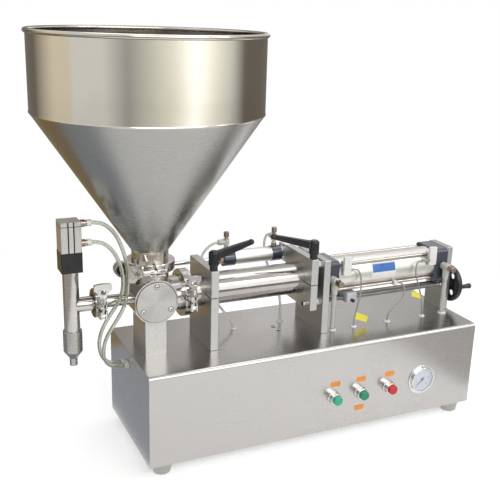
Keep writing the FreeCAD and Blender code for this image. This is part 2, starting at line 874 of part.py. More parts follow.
def hopper():
    foot = hopper_joint + seal_thickness / 2
    band_bottom = hopper_band_bottom
    inner_neck = neck_radius - neck_wall
    inner = hopper_radius - hopper_wall
    bead_z = hopper_top - bead_radius
    place = V(valve_x, 0, 0)
    neck = ferrule(Z, V(valve_x, 0, foot), ferrule_radius, inner_neck, neck_radius,
                   hopper_neck_top - foot)
    cone = lathe([(inner_neck, hopper_neck_top), (neck_radius, hopper_neck_top),
                  (hopper_radius, band_bottom), (inner, band_bottom)], Z, place)
    band = lathe([(inner, band_bottom), (hopper_radius, band_bottom), (hopper_radius, bead_z),
                  (inner, bead_z)], Z, place)
    bead = Part.makeTorus(hopper_radius, bead_radius, place + Z * bead_z, Z)
    return [neck, cone, band.fuse(bead)]


# Filling cylinder, its piston and the two split plates that hold it

def filling_cylinder():
    face = cylinder_joint + seal_thickness / 2
    end = plate_middle_x + plate_thickness
    return ferrule(X, V(face, 0, axis_z), ferrule_radius, tube_radius - tube_wall,
                   tube_radius, end - face)


def piston_start():
    return cylinder_joint + seal_thickness / 2 + 2


def filling_piston():
    radius = tube_radius - tube_wall - fit
    groove = radius - piston_ring
    length = piston_length
    profile = [(rod_radius, length), (rod_radius, 10), (0, 10), (0, 0), (radius - 2, 0),
               (radius, 2), (radius, 7), (groove, 7), (groove, 11), (radius, 11),
               (radius, 19), (groove, 19), (groove, 23), (radius, 23), (radius, length)]
    return lathe(profile, X, V(piston_start(), 0, axis_z))


def piston_rod():
    """One rod with the filling piston's seat and the air piston on it."""
    start = piston_start() + 10
    air_x = barrel_x + 1
    shaft = rod(V(start, 0, axis_z), X, rod_radius, air_x - start)
    radius = barrel_radius - barrel_wall - fit
    profile = [(0, 0), (radius, 0), (radius, 7), (radius - piston_ring, 7), (radius - piston_ring, 15),
               (radius, 15), (radius, air_piston_length), (0, air_piston_length)]
    piston = lathe(profile, X, V(air_x, 0, axis_z))
    return join([shaft, piston])


def split_plate(x, bottom, foot_holes):
    plate = box(x, x + plate_thickness, plate_front, plate_back, bottom, plate_high)
    plate = rounded(plate, plate_round, lambda edge: along(edge, X) or along(edge, Z))
    plate = plate.cut(rod(V(x, 0, axis_z), X, tube_radius, plate_thickness))
    plate = plate.cut(box(x, x + plate_thickness, plate_front, -tube_radius + 2,
                          axis_z - slit / 2, axis_z + slit / 2))
    centre = x + plate_thickness / 2
    plate = plate.cut(rod(V(centre, jaw_screw_y, axis_z - jaw_screw_drop - 2), Z,
                          jaw_screw_radius + slip, plate_reach + jaw_screw_drop + 2))
    for y in foot_holes:
        plate = plate.cut(rod(V(centre, y, bottom), Z, foot_screw_radius, 4 * foot_screw_radius))
    return plate


def joining_places():
    """Height and side of each screw that joins the middle plate to the mounting plate."""
    for y in (plate_front + joining_inset_y, plate_back - joining_inset_y):
        yield y, plate_low + joining_inset_low, plate_thickness
        yield y, plate_high - joining_inset_high, joining_thread


def clamp_plate_middle():
    right = plate_middle_x + plate_thickness
    plate = split_plate(plate_middle_x, plate_low, ())
    for y, z, depth in joining_places():
        plate = plate.cut(rod(V(right - depth, y, z), X, joining_radius + slip, depth))
    return plate


def mount_plate():
    x = mount_plate_x
    seat = x + mount_plate_thickness - screw_seat
    plate = box(x, x + mount_plate_thickness, plate_front, plate_back, deck,
                axis_z + mount_plate_reach)
    plate = rounded(plate, plate_round, lambda edge: along(edge, X) or along(edge, Z))
    plate = plate.cut(rod(V(x, 0, axis_z), X, rod_radius + fit, mount_plate_thickness))
    plate = plate.cut(rod(V(seat, screw_y, screw_z), X, screw_radius + fit, screw_seat))
    plate = plate.cut(rod(V(seat, guide_y, guide_z), X, guide_radius, screw_seat))
    for y, z, depth in joining_places():
        plate = plate.cut(rod(V(x, y, z), X, joining_radius, joining_thread))
    return plate


def joining_screws():
    """Socket screws below and studs above, each through a spacer between the plates."""
    screws = []
    right = plate_middle_x + plate_thickness
    for y, z, depth in joining_places():
        shank = rod(V(right - depth, y, z), X, joining_radius,
                    depth + mount_gap + joining_thread)
        spacer = rod(V(right, y, z), X, spacer_radius, mount_gap)
        parts = [shank, spacer]
        if depth == plate_thickness:
            rim = joining_head_radius
            parts.append(lathe([(3, 0), (rim - 0.5, 0), (rim, 1), (rim, joining_head),
                                (0, joining_head), (0, 4), (3, 4)], X,
                               V(plate_middle_x - joining_head, y, z)))
        screws.append(join(parts))
    return screws


def lever(x, angle):
    """A clamping lever: threaded stem, neck, hub and a tapered arm that rises."""
    top = plate_high + lever_height
    stem_end = axis_z - jaw_screw_drop
    seat = plate_high + slip
    hub_low = plate_high + lever_neck
    place = V(x + plate_thickness / 2, jaw_screw_y, 0)
    hub = lathe([(0, stem_end), (jaw_screw_radius, stem_end), (jaw_screw_radius, seat),
                 (lever_neck_radius, seat), (lever_neck_radius, hub_low),
                 (lever_hub_radius, hub_low + 3), (lever_hub_radius, top - 4),
                 (lever_hub_radius - 4, top), (0, top)], Z, V(0, 0, 0))
    root_high = top - 3
    root_low = root_high - lever_root_height
    tip_low = root_low + lever_rise + 6
    tip_high = tip_low + lever_tip_height
    ends = []
    for x, half, low, high in ((4, lever_root_half, root_low, root_high),
                               (lever_length, lever_tip_half, tip_low, tip_high)):
        ends.append(Part.makePolygon([V(x, -half, low), V(x, half, low), V(x, half, high),
                                      V(x, -half, high), V(x, -half, low)]))
    arm = Part.makeLoft(ends, True)
    knob = Part.makeSphere(lever_knob, V(lever_length, 0, (tip_low + tip_high) / 2))
    whole = join([hub, arm, knob])
    whole.rotate(V(0, 0, 0), Z, angle)
    whole.translate(place)
    return whole


# Air cylinder: two caps, a barrel and four tie rods, clamped by the end plate

def tie_rod_places():
    for y in (-tie_rod_offset, tie_rod_offset):
        for z in (axis_z - tie_rod_offset, axis_z + tie_rod_offset):
            yield y, z


def air_cap(x, length):
    half = cap_size / 2
    cap = box(x, x + length, -half, half, axis_z - half, axis_z + half)
    cap = rounded(cap, cap_corner, lambda edge: along(edge, X))
    for y, z in tie_rod_places():
        cap = cap.cut(rod(V(x, y, z), X, tie_rod_radius + slip, length))
    return cap


def air_cylinder_caps():
    front = air_cap(front_cap_x, front_cap_length)
    front = front.cut(rod(V(front_cap_x, 0, axis_z), X, rod_radius + fit, front_cap_length))
    rear = air_cap(rear_cap_x, rear_cap_length)
    return [front, rear]


def air_barrel():
    return ring(V(barrel_x, 0, axis_z), X, barrel_radius, barrel_radius - barrel_wall,
                barrel_length)


def cylinder_rods():
    length = end_plate_x - front_cap_x
    rods = [rod(V(front_cap_x, y, z), X, tie_rod_radius, length) for y, z in tie_rod_places()]
    start = front_cap_x - screw_seat
    guide = rod(V(start, guide_y, guide_z), X, guide_radius, end_plate_x + guide_seat - start)
    return rods + [guide]


def end_plate():
    half = end_plate_depth / 2
    x = end_plate_x
    plate = box(x, x + end_plate_thickness, -half, half, deck, axis_z + end_plate_reach)
    plate = rounded(plate, plate_round, lambda edge: along(edge, X) or along(edge, Z))
    plate = plate.cut(rod(V(x, screw_y, screw_z), X, screw_radius + fit, end_plate_thickness))
    return plate.cut(rod(V(x, guide_y, guide_z), X, guide_radius, guide_seat))


# Stroke setting

def lead_screw():
    start = front_cap_x - screw_seat + slip
    end = wheel_x + wheel_thickness + 2
    screw = rod(V(start, screw_y, screw_z), X, screw_radius, end - start)
    collar = rod(V(end_plate_x - screw_collar, screw_y, screw_z), X, screw_collar_radius,
                 screw_collar - slip)
    return join([screw, collar])


def travel_block():
    block = box(block_x, block_x + block_length, block_front, block_back, block_bottom, block_top)
    block = rounded(block, 2, lambda edge: along(edge, X) or along(edge, Z))
    block = block.cut(rod(V(block_x, screw_y, screw_z), X, screw_radius + fit, block_length))
    block = block.cut(rod(V(block_x, guide_y, guide_z), X, guide_radius + fit, block_length))
    place = V(block_x + block_length / 2, block_front + 1, block_bottom + block_knob_radius + 2)
    return join([block, rod(place, -Y, block_knob_radius, block_knob + 1)])


def handwheel():
    """A dished wheel with a thick rim, a web with round windows and a hub."""
    inner = wheel_radius - wheel_rim
    web = (wheel_thickness - wheel_web) / 2
    profile = [(screw_radius, -2), (wheel_hub, -2), (wheel_hub, web), (inner, web),
               (inner, 2), (inner + 2, 0), (wheel_radius - 2, 0), (wheel_radius, 3),
               (wheel_radius, wheel_thickness - 3), (wheel_radius - 2, wheel_thickness),
               (inner + 2, wheel_thickness), (inner, wheel_thickness - 2),
               (inner, web + wheel_web), (wheel_hub, web + wheel_web),
               (wheel_hub - 1, wheel_thickness), (screw_radius, wheel_thickness)]
    wheel = lathe(profile, X, V(wheel_x, screw_y, screw_z))
    for step in range(3):
        angle = math.radians(60 + 120 * step)
        centre = V(wheel_x, screw_y - wheel_window_throw * math.cos(angle),
                   screw_z + wheel_window_throw * math.sin(angle))
        wheel = wheel.cut(rod(centre, X, wheel_window, wheel_thickness))
    grip_y = screw_y - grip_throw
    boss = rod(V(wheel_x + web, grip_y, screw_z), X, grip_radius + 1.5, wheel_thickness - web)
    spindle = rod(V(wheel_x + wheel_thickness - 1, grip_y, screw_z), X, grip_pin_radius,
                  grip_length - 4)
    return join([wheel, boss, spindle])


def handwheel_grip():
    bore = grip_pin_radius + fit
    end = grip_length
    profile = [(bore, 0), (grip_radius - 1.5, 0), (grip_radius - 1, end - 12),
               (grip_radius, end - 7), (grip_radius, end - 3), (grip_radius - 3, end),
               (0, end), (0, end - 4), (bore, end - 4)]
    return lathe(profile, X, V(wheel_x + wheel_thickness + slip, screw_y - grip_throw, screw_z))


# Position sensors clipped on the tie rods, and the clip of the lower wire

def sensor_bracket(x):
    """A plate in front of the barrel, hooked over the upper front tie rod, and a
    switch held behind its lower edge."""
    y, z = -tie_rod_offset, axis_z + tie_rod_offset
    back = -barrel_radius - sensor_gap
    front = back - sensor_thickness
    plate = box(x, x + sensor_width, front, back, axis_z + sensor_low, axis_z + sensor_high)
    plate = rounded(plate, 2, lambda edge: along(edge, Y))
    hook = box(x + 3, x + sensor_width - 3, back - 1, y + tie_rod_radius + 3,
               z - hook_half, z + hook_half)
    body = join([plate, hook]).cut(rod(V(x, 0, axis_z), X, barrel_radius + free, sensor_width))
    return body.cut(rod(V(x, y, z), X, tie_rod_radius + slip, sensor_width))


def sensor_switch(x0, x1):
    place = V(x0, 1 - barrel_radius - sensor_gap - sensor_thickness,
              axis_z + tie_rod_offset - switch_drop)
    return rod(place, X, switch_radius, x1 - x0)


def sensors():
    y, z = -tie_rod_offset, axis_z - tie_rod_offset
    left_x, right_x = sensor_x
    left_end = left_x + sensor_width
    left = join([sensor_bracket(left_x), sensor_switch(left_end - 1, left_end + 2)])
    right = join([sensor_bracket(right_x), sensor_switch(right_x - switch_reach, right_x + 1)])
    clip_x = front_cap_x + clip_spot
    clip = box(clip_x, clip_x + clip_width, y - 10, y + tie_rod_radius + 2,
               z - clip_half, z + clip_half)
    clip = clip.cut(rod(V(clip_x, y, z), X, tie_rod_radius + slip, clip_width))
    clip = clip.cut(rod(V(clip_x, 0, axis_z), X, barrel_radius + free, clip_width))
    return [left, right, clip]


# Elbow fittings, hose fittings and glands

def elbow_fitting(x):
    """A swivel elbow on a cap's front face, with its adjusting screw in front."""
    face = -cap_size / 2
    root = V(x, face, axis_z)
    body = lathe([(0, 0), (8.5, 0), (8.5, 4), (7.5, 4), (7.5, 6), (9, 6), (9, 22), (7.5, 24),
                  (0, 24)], -Y, root)
    screw = hexagon(root - Y * 23, -Y, 13, 9)
    knob = lathe([(0, 31), (6, 31), (7, 32), (7, 41), (6, 42), (0, 42)], -Y, root)
    leg = lathe([(0, 0), (8, 0), (8, 20), (7, 24), (7, 30), (main_tube_radius + slip, 30),
                 (main_tube_radius + slip, 22), (0, 22)], -Z, V(x, deck_front_row, axis_z))
    return join([body, screw, knob, leg])


def hose_fitting(z):
    place = V(nozzle_x + block_half, 0, z)
    profile = [(0, 0), (5, 0), (5, 2), (7.5, 2), (7.5, 11), (5.5, 11), (5.5, 14), (7, 14),
               (7, 22), (5.5, 24), (hose_radius + slip, 24), (hose_radius + slip, 16), (0, 16)]
    return lathe(profile, X, place)


def side_gland(y, z):
    inner = hose_radius + slip
    outer = hose_radius + gland_wall
    profile = [(inner, -6), (outer, -6), (outer, 0), (outer + 2, 0), (outer + 2, 3),
               (outer, 4), (outer, side_gland_length), (inner, side_gland_length)]
    return lathe(profile, -X, V(base_left, y, z))


def air_fittings():
    fittings = [elbow_fitting(x) for x in (outlet_x[0], outlet_x[-1])]
    fittings += [hose_fitting(z) for z in (upper_port_z, lower_port_z)]
    fittings += [side_gland(y, z) for y, z in side_outlets]
    return fittings


# Shut-off nozzle: body with a side branch, tip, adapter, air block and plunger

def nozzle_body():
    face = nozzle_joint - seal_thickness / 2
    body = rod(V(nozzle_x, 0, collar_top), Z, nozzle_radius, adapter_bottom - collar_top)
    branch = ferrule(-X, V(face, 0, axis_z), small_ferrule_radius, branch_bore,
                     nozzle_branch_radius, face - nozzle_x)
    body = join([body, branch])
    body = body.cut(rod(V(nozzle_x, 0, collar_top), Z, nozzle_bore, adapter_bottom - collar_top))
    return body.cut(rod(V(nozzle_x, 0, axis_z), X, branch_bore, face - nozzle_x))


def nozzle_tip():
    profile = [(tip_bore, nozzle_bottom), (tip_radius, nozzle_bottom), (tip_radius, tip_top),
               (collar_radius - 1, collar_bottom), (collar_radius, collar_bottom + 2),
               (collar_radius, collar_top - 1), (collar_radius - 1, collar_top),
               (nozzle_bore, collar_top), (nozzle_bore, collar_bottom),
               (tip_bore, tip_top + 6)]
    return lathe(profile, Z, V(nozzle_x, 0, 0))


def nozzle_adapter():
    half = block_half + 0.5
    adapter = box(nozzle_x - half, nozzle_x + half, -half, half, adapter_bottom, adapter_top)
    adapter = rounded(adapter, 2, lambda edge: along(edge, Z))
    return adapter.cut(rod(V(nozzle_x, 0, adapter_bottom), Z, plunger_radius + fit,
                           adapter_top - adapter_bottom))


def nozzle_cylinder():
    """A square extruded air block with two grooves down its front and back."""
    half = block_half
    block = box(nozzle_x - half, nozzle_x + half, -half, half, adapter_top, block_end)
    block = rounded(block, 2.5, lambda edge: along(edge, Z))
    for x in (-5.5, 5.5):
        for y in (-half, half - 1.5):
            block = block.cut(box(nozzle_x + x - 1.2, nozzle_x + x + 1.2, y, y + 1.5,
                                  adapter_top, block_end))
    block = block.cut(rod(V(nozzle_x, 0, adapter_top + block_wall), Z, plunger_piston + fit,
                          block_height - 2 * block_wall))
    return block.cut(rod(V(nozzle_x, 0, adapter_top), Z, plunger_radius + fit, block_wall + 2))


def nozzle_plunger():
    low = nozzle_bottom + 1
    piston_z = adapter_top + block_wall + slip
    piston_end = piston_z + plunger_piston_length
    profile = [(0, low), (tip_bore - fit, low), (tip_bore - fit, low + 10),
               (plunger_radius, low + 18), (plunger_radius, piston_z),
               (plunger_piston, piston_z), (plunger_piston, piston_end), (0, piston_end)]
    return lathe(profile, Z, V(nozzle_x, 0, 0))


# Front panel

def button_bezels():
    bezels = []
    for x in button_x:
        inner = button_radius + free
        profile = [(inner, 0), (bezel_radius, 0), (bezel_radius, 4), (bezel_radius - 1.5, 6),
                   (bezel_radius - 1.5, bezel_depth - 1), (bezel_radius - 2.5, bezel_depth),
                   (inner, bezel_depth)]
        bezel = lathe(profile, -Y, V(x, front_face, button_z))
        inside = lathe([(0, -button_body_depth), (button_body_radius, -button_body_depth),
                        (button_body_radius, 0), (inner + 1, 0), (inner + 1, 1), (0, 1)],
                       -Y, V(x, front_face, button_z))
        bezels.append(join([bezel, inside]))
    return bezels


def push_button(x):
    profile = [(0, 7), (button_radius, 7), (button_radius, button_stand - 1.5),
               (button_radius - 1.5, button_stand), (0, button_stand)]
    return lathe(profile, -Y, V(x, front_face, button_z))


def pressure_gauge():
    rim = gauge_rim_radius
    depth = gauge_rim_depth
    profile = [(0, -gauge_body_depth), (gauge_body_radius, -gauge_body_depth),
               (gauge_body_radius, 0), (gauge_flange_radius, 0),
               (gauge_flange_radius, gauge_flange - 0.5),
               (gauge_flange_radius - 0.5, gauge_flange), (rim, gauge_flange),
               (rim, depth - 1), (rim - 1, depth), (rim - 3, depth), (rim - 3, 3), (0, 3)]
    gauge = lathe(profile, -Y, V(gauge_x, front_face, gauge_z))
    for place in gauge_screw_places():
        gauge = gauge.cut(rod(place, -Y, gauge_screw_radius + slip, gauge_flange))
    return gauge


def gauge_needle():
    y = front_face - 3 - fit
    hub = rod(V(gauge_x, y, gauge_z), -Y, 3, 2)
    low = gauge_z - needle_tail
    hand = prism([V(gauge_x - 1.2, y - 0.5, low), V(gauge_x + 1.2, y - 0.5, low),
                  V(gauge_x + 0.4, y - 0.5, gauge_z + needle_length),
                  V(gauge_x - 0.4, y - 0.5, gauge_z + needle_length)], -Y, 1)
    needle = join([hub, hand])
    needle.rotate(V(gauge_x, y, gauge_z), Y, needle_turn)
    return needle


# Inside the base: the control unit and the block of air valves on the bottom plate

def control_units():
    floor = foot_height + sheet
    box_x = base_left + unit_from_left
    unit = box(box_x, box_x + unit_length, unit_front, unit_front + unit_depth,
               floor, floor + unit_height)
    unit = rounded(unit, 3, lambda edge: along(edge, Z))
    start = box_x + unit_length + manifold_gap
    manifold_top = floor + manifold_height
    manifold = box(start, start + manifold_length, manifold_front,
                   manifold_front + manifold_depth, floor, manifold_top)
    edge = (manifold_depth - coil_depth) / 2
    coils = []
    for step in range(4):
        x = start + edge + 3 + coil_pitch * step
        coils.append(box(x, x + coil_width, manifold_front + edge,
                         manifold_front + edge + coil_depth, manifold_top - 1,
                         manifold_top + coil_height))
    return [unit, join([manifold] + coils)]


# Cords: straight runs joined by tangent arcs

def cord(name, points, radius):
    edges = []
    start = points[0]
    radii = []
    for before, corner, after in zip(points, points[1:], points[2:]):
        back = before - corner
        ahead = after - corner
        half_turn = (math.pi - back.getAngle(ahead)) / 2
        trim = 0.45 * min(back.Length, ahead.Length)
        back.normalize()
        ahead.normalize()
        first = corner + back * trim
        last = corner + ahead * trim
        arc_radius = trim / math.tan(half_turn)
        radii.append(round(arc_radius))
        middle_way = back + ahead
        middle_way.normalize()
        middle = corner + middle_way * (arc_radius / math.cos(half_turn) - arc_radius)
        edges.append(Part.LineSegment(start, first).toShape())
        edges.append(Part.Arc(first, middle, last).toShape())
        start = last
    edges.append(Part.LineSegment(start, points[-1]).toShape())
    path = Part.Wire(edges)
    way = points[1] - points[0]
    section = Part.Wire(Part.makeCircle(radius, points[0], way))
    tube = path.makePipeShell([section], True, False)
    expected = math.pi * radius ** 2 * path.Length
    print(name, "length", round(path.Length, 1), "arc radii", radii,
          "volume ratio", round(tube.Volume / expected, 3))
    return tube


def route(anchor, offsets, end=()):
    """Points given from the place where the cord starts, and the points at its far end."""
    return [anchor + V(*offset) for offset in offsets] + [V(*point) for point in end]


def deck_end(x, y, rise):
    return (x, y, deck + rise), (x, y, deck - 5)


def side_end(side):
    y, z = side
    return (base_left - 30, y, z), (base_left - 8, y, z)


hose_start = nozzle_x + block_half + 17
switch_y = 1 - barrel_radius - sensor_gap - sensor_thickness
switch_z = axis_z + tie_rod_offset - switch_drop
left_switch = V(sensor_x[0] + sensor_width + 2, switch_y, switch_z)
right_switch = V(sensor_x[1] - switch_reach, switch_y, switch_z)
lower_clip = V(front_cap_x + clip_spot + clip_width, -tie_rod_offset - 8.5,
               axis_z - tie_rod_offset)
left_control = V(left_control_x, valve_rod_y, control_z)
right_control = V(right_control_x, valve_rod_y, control_z)

cords = {
    "hose_upper": (hose_radius, route(V(hose_start, 0, upper_port_z), (
        (0, 0, 0), (20, 0, 0), (38, -6, -8), (53, -13, -26), (64, -18, -54), (71, -22, -84),
        (72, -25, -115), (70, -26, -146), (64, -25, -174), (51, -21, -200), (37, -15, -225),
        (26, -10, -250), (22, -5, -281), (29.5, -1, -304)),
        side_end(side_outlets[0]))),
    "hose_lower": (hose_radius, route(V(hose_start, 0, lower_port_z), (
        (0, 0, 0), (20, 0, 0), (38, -6, -9), (52, -13, -28), (61, -19, -55), (63, -24, -85),
        (57, -27, -113), (42, -26, -136), (28, -20, -161), (19, -9, -188), (16, 2, -217),
        (20.5, 12, -243), (30, 21, -265)),
        side_end(side_outlets[1]))),
    "tube_valve_left": (thin_radius, route(left_control, (
        (-14, 0, 0), (-27, 0, 0), (-40, 4, -8), (-51, 10, -23), (-57, 13, -44),
        (-57, 9, -68), (-51, 0, -93), (-40, -11, -117), (-24.5, -24, -142)),
        deck_end(back_outlet_x[0], deck_back_row, 13))),
    "tube_valve_right": (thin_radius, route(right_control, (
        (0, 14, 0), (0, 30, 0), (0, 44, -11), (0, 51, -32), (0, 45, -57), (0.5, 28, -77),
        (1, 6, -91), (1, -16, -106), (1.5, -33, -124), (2, -41, -147)),
        deck_end(back_outlet_x[1], deck_back_row, 20))),
    "tube_main_left": (main_tube_radius, route(
        V(outlet_x[0], deck_front_row, axis_z - 23), ((0, 0, 0),),
        ((outlet_x[0], deck_front_row, deck - 8),))),
    "tube_main_right": (main_tube_radius, route(
        V(outlet_x[-1], deck_front_row, axis_z - 23), ((0, 0, 0),),
        ((outlet_x[-1], deck_front_row, deck - 8),))),
    "sensor_wire_left": (wire_radius, route(left_switch, (
        (0, 0, 0), (10, 0, 0), (19, -0.5, -7), (24, -2, -24), (25, -3, -44), (24, -3, -64),
        (20, -3, -84), (14, -5, -104)), deck_end(outlet_x[1], deck_front_row, 14))),
    "sensor_wire_right": (wire_radius, route(right_switch, (
        (0, 0, 0), (-9, 0, 0), (-15.5, -1.5, -9), (-16.5, -3, -25), (-12, -3.5, -43),
        (-4, -3.5, -62), (3, -3.5, -82), (7.5, -5, -102)),
        deck_end(outlet_x[3], deck_front_row, 15))),
    "sensor_wire_lower": (wire_radius, route(lower_clip, (
        (0, 0, 0), (9, 0, 0), (17, -1.5, -7), (20, -4.5, -20), (15, -7.5, -34),
        (4, -9.5, -45), (-9, -11, -54), (-22, -12.5, -61)),
        deck_end(outlet_x[2], deck_front_row, 15))),
}


os.makedirs("parts", exist_ok=True)
save("base_housing", base_housing())
save("bottom_plate", bottom_plate())
save("levelling_feet", levelling_feet())
save("deck_grommets", deck_grommets())
save("pedestal_blocks", pedestal_blocks())
save("valve_body", valve_body())
save("valve_covers", valve_covers())
save("button_screws", button_screws())
save("valve_rotor", valve_rotor())
save("crank_arm", crank_arm())
save("valve_cylinder", valve_cylinder())
save("valve_cylinder_rod", valve_cylinder_rod())
save("cylinder_bracket", cylinder_bracket())
save("flow_controls", flow_controls())
save("ferrule_clamps", [set_clamp(piece, place, upright)
                        for flange, place, upright, turn in clamp_seats.values()
                        for piece in clamp_pieces(flange)])
for clamp_name, (clamp_flange, clamp_place, clamp_upright, nut_turn) in clamp_seats.items():
    save(clamp_name + "_wing_nut", set_clamp(wing_nut(clamp_flange, nut_turn), clamp_place,
                                             clamp_upright))
save("clamp_seals", clamp_seals())
save("hopper", hopper())
save("filling_cylinder", filling_cylinder())
save("filling_piston", filling_piston())
save("piston_rod", piston_rod())
save("clamp_plate_left", split_plate(plate_left_x, deck, (-foot_screw_y, foot_screw_y)))
save("clamp_plate_middle", clamp_plate_middle())
save("mount_plate", mount_plate())
save("joining_screws", joining_screws())
save("lever_left", lever(plate_left_x, left_lever_angle))
save("lever_right", lever(plate_middle_x, right_lever_angle))
save("air_cylinder_caps", air_cylinder_caps())
save("air_barrel", air_barrel())
save("cylinder_rods", cylinder_rods())
save("end_plate", end_plate())
save("lead_screw", lead_screw())
save("travel_block", travel_block())
save("handwheel", handwheel())
save("handwheel_grip", handwheel_grip())
save("sensors", sensors())
save("air_fittings", air_fittings())
save("nozzle_body", nozzle_body())
save("nozzle_tip", nozzle_tip())
save("nozzle_adapter", nozzle_adapter())
save("nozzle_cylinder", nozzle_cylinder())
save("nozzle_plunger", nozzle_plunger())
save("button_bezels", button_bezels())
for button_name, button_place in zip(("button_left", "button_middle", "button_right"), button_x):
    save(button_name, push_button(button_place))
save("pressure_gauge", pressure_gauge())
save("gauge_needle", gauge_needle())
save("control_units", control_units())
for cord_name, (cord_radius, cord_points) in cords.items():
    save(cord_name, cord(cord_name, cord_points, cord_radius))
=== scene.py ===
import bpy
import json
import math
from mathutils import Matrix, Vector


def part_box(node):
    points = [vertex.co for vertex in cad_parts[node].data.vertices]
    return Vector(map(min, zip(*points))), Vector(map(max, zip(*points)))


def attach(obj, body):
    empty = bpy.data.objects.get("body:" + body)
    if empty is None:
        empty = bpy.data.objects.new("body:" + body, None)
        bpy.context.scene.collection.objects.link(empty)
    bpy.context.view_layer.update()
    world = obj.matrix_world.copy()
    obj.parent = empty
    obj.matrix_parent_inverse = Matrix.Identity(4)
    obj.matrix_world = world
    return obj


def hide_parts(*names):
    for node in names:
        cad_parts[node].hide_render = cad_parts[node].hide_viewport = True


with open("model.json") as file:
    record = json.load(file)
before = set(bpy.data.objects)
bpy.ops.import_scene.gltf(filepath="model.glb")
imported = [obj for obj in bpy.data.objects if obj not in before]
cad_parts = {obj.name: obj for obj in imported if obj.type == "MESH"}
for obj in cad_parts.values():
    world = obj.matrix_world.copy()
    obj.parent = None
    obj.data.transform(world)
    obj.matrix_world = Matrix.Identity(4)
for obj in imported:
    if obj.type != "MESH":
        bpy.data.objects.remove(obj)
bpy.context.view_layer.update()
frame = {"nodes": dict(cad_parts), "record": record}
NODES = frame["nodes"]
BODY_OF = {node: body for body, nodes in frame["record"]["behaviour"]["bodies"].items()
           for node in nodes}

MM = 0.001

# Places from the frame in metres: the deck's height, the front panel and the valve's middle
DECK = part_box("base_housing")[1][2]
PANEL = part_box("base_housing")[0][1]
VALVE = ((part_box("valve_covers")[0][0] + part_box("valve_covers")[1][0]) / 2, 0,
         (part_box("valve_covers")[0][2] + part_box("valve_covers")[1][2]) / 2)

# The length of one wave of Blender's wave texture at a scale of 1
WAVE = 0.31


# Camera, floor and light

def add_camera():
    """The camera stands at the left front, a little above the hopper's rim."""
    place = (-0.76918, -1.50925, 0.92907)
    to_the_right, downwards, leaning = 25.1539, 17.0061, 1.6895
    bpy.ops.object.camera_add(location=place)
    camera = bpy.context.object
    turn = Matrix.Rotation(math.radians(-to_the_right), 4, "Z")
    tilt = Matrix.Rotation(math.radians(90 - downwards), 4, "X")
    roll = Matrix.Rotation(math.radians(leaning), 4, "Z")
    camera.matrix_world = Matrix.Translation(camera.location) @ turn @ tilt @ roll
    camera.data.lens = 58.0755
    camera.data.sensor_width = 36.0
    camera.data.shift_x = 0.0026
    camera.data.shift_y = 0.0016
    camera.data.clip_end = 50
    bpy.context.scene.camera = camera


def add_lamp(name, place, aim, size, power, colour=(1, 1, 1)):
    bpy.ops.object.light_add(type="AREA", location=place)
    lamp = bpy.context.object
    lamp.name = name
    lamp.data.shape = "RECTANGLE"
    lamp.data.size = size[0]
    lamp.data.size_y = size[1]
    lamp.data.energy = power
    lamp.data.color = colour
    way = Vector(aim) - Vector(place)
    lamp.rotation_euler = way.to_track_quat("-Z", "Y").to_euler()


def add_card(name, place, aim, size, grey):
    """A studio card that only shows in reflections, as a dark wall of the room does."""
    way = Vector(aim) - Vector(place)
    bpy.ops.mesh.primitive_plane_add(size=1, location=place,
                                     rotation=way.to_track_quat("Z", "Y").to_euler())
    card = bpy.context.object
    card.name = name
    card.scale = (size[0], size[1], 1)
    only_reflected(card, grey)


def add_floor_ring(name, inner, outer, grey):
    """A grey ring on the floor round the machine that only shows in reflections."""
    bpy.ops.mesh.primitive_circle_add(vertices=64, radius=outer, fill_type="NGON",
                                      location=(0.05, 0, 0.001))
    ring = bpy.context.object
    ring.name = name
    bpy.ops.object.mode_set(mode="EDIT")
    bpy.ops.mesh.select_all(action="SELECT")
    bpy.ops.mesh.inset(thickness=outer - inner)
    bpy.ops.mesh.delete(type="FACE")
    bpy.ops.object.mode_set(mode="OBJECT")
    only_reflected(ring, grey)


def add_wall(name, radius, low, high, shades, strength):
    """A round wall that only shows in reflections, light and dark by its bearing.

    Bearings are in degrees from straight in front, growing towards +X."""
    bpy.ops.mesh.primitive_cylinder_add(vertices=96, radius=radius, depth=high - low,
                                        end_fill_type="NOTHING",
                                        location=(0, 0, (low + high) / 2))
    wall = bpy.context.object
    wall.name = name
    only_reflected(wall, (1, 1, 1))
    tree = wall.data.materials[0].node_tree
    where = tree.nodes.new("ShaderNodeTexCoord")
    round_it = tree.nodes.new("ShaderNodeTexGradient")
    round_it.gradient_type = "RADIAL"
    tree.links.new(where.outputs["Object"], round_it.inputs["Vector"])
    ramp = tree.nodes.new("ShaderNodeValToRGB")
    stops = ramp.color_ramp.elements
    ordered = sorted(((0.25 + bearing / 360) % 1.0, shade) for bearing, shade in shades)
    while len(stops) < len(ordered):
        stops.new(0.5)
    for stop, (position, shade) in zip(stops, ordered):
        stop.position = position
        stop.color = (*shade, 1)
    tree.links.new(round_it.outputs["Fac"], ramp.inputs["Fac"])
    shader = tree.nodes["Principled BSDF"]
    shader.inputs["Emission Strength"].default_value = strength
    tree.links.new(ramp.outputs["Color"], shader.inputs["Emission Color"])


def only_reflected(card, grey):
    """Keep a studio piece out of all but the gloss, and let it glow in one colour."""
    card.visible_camera = False
    card.visible_diffuse = False
    card.visible_shadow = False
    card.visible_transmission = False
    glow, tree, shader = new_material(card.name + "_paint")
    shader.inputs["Base Color"].default_value = (0, 0, 0, 1)
    shader.inputs["Specular IOR Level"].default_value = 0
    shader.inputs["Emission Color"].default_value = (*grey, 1)
    shader.inputs["Emission Strength"].default_value = 1
    card.data.materials.append(glow)


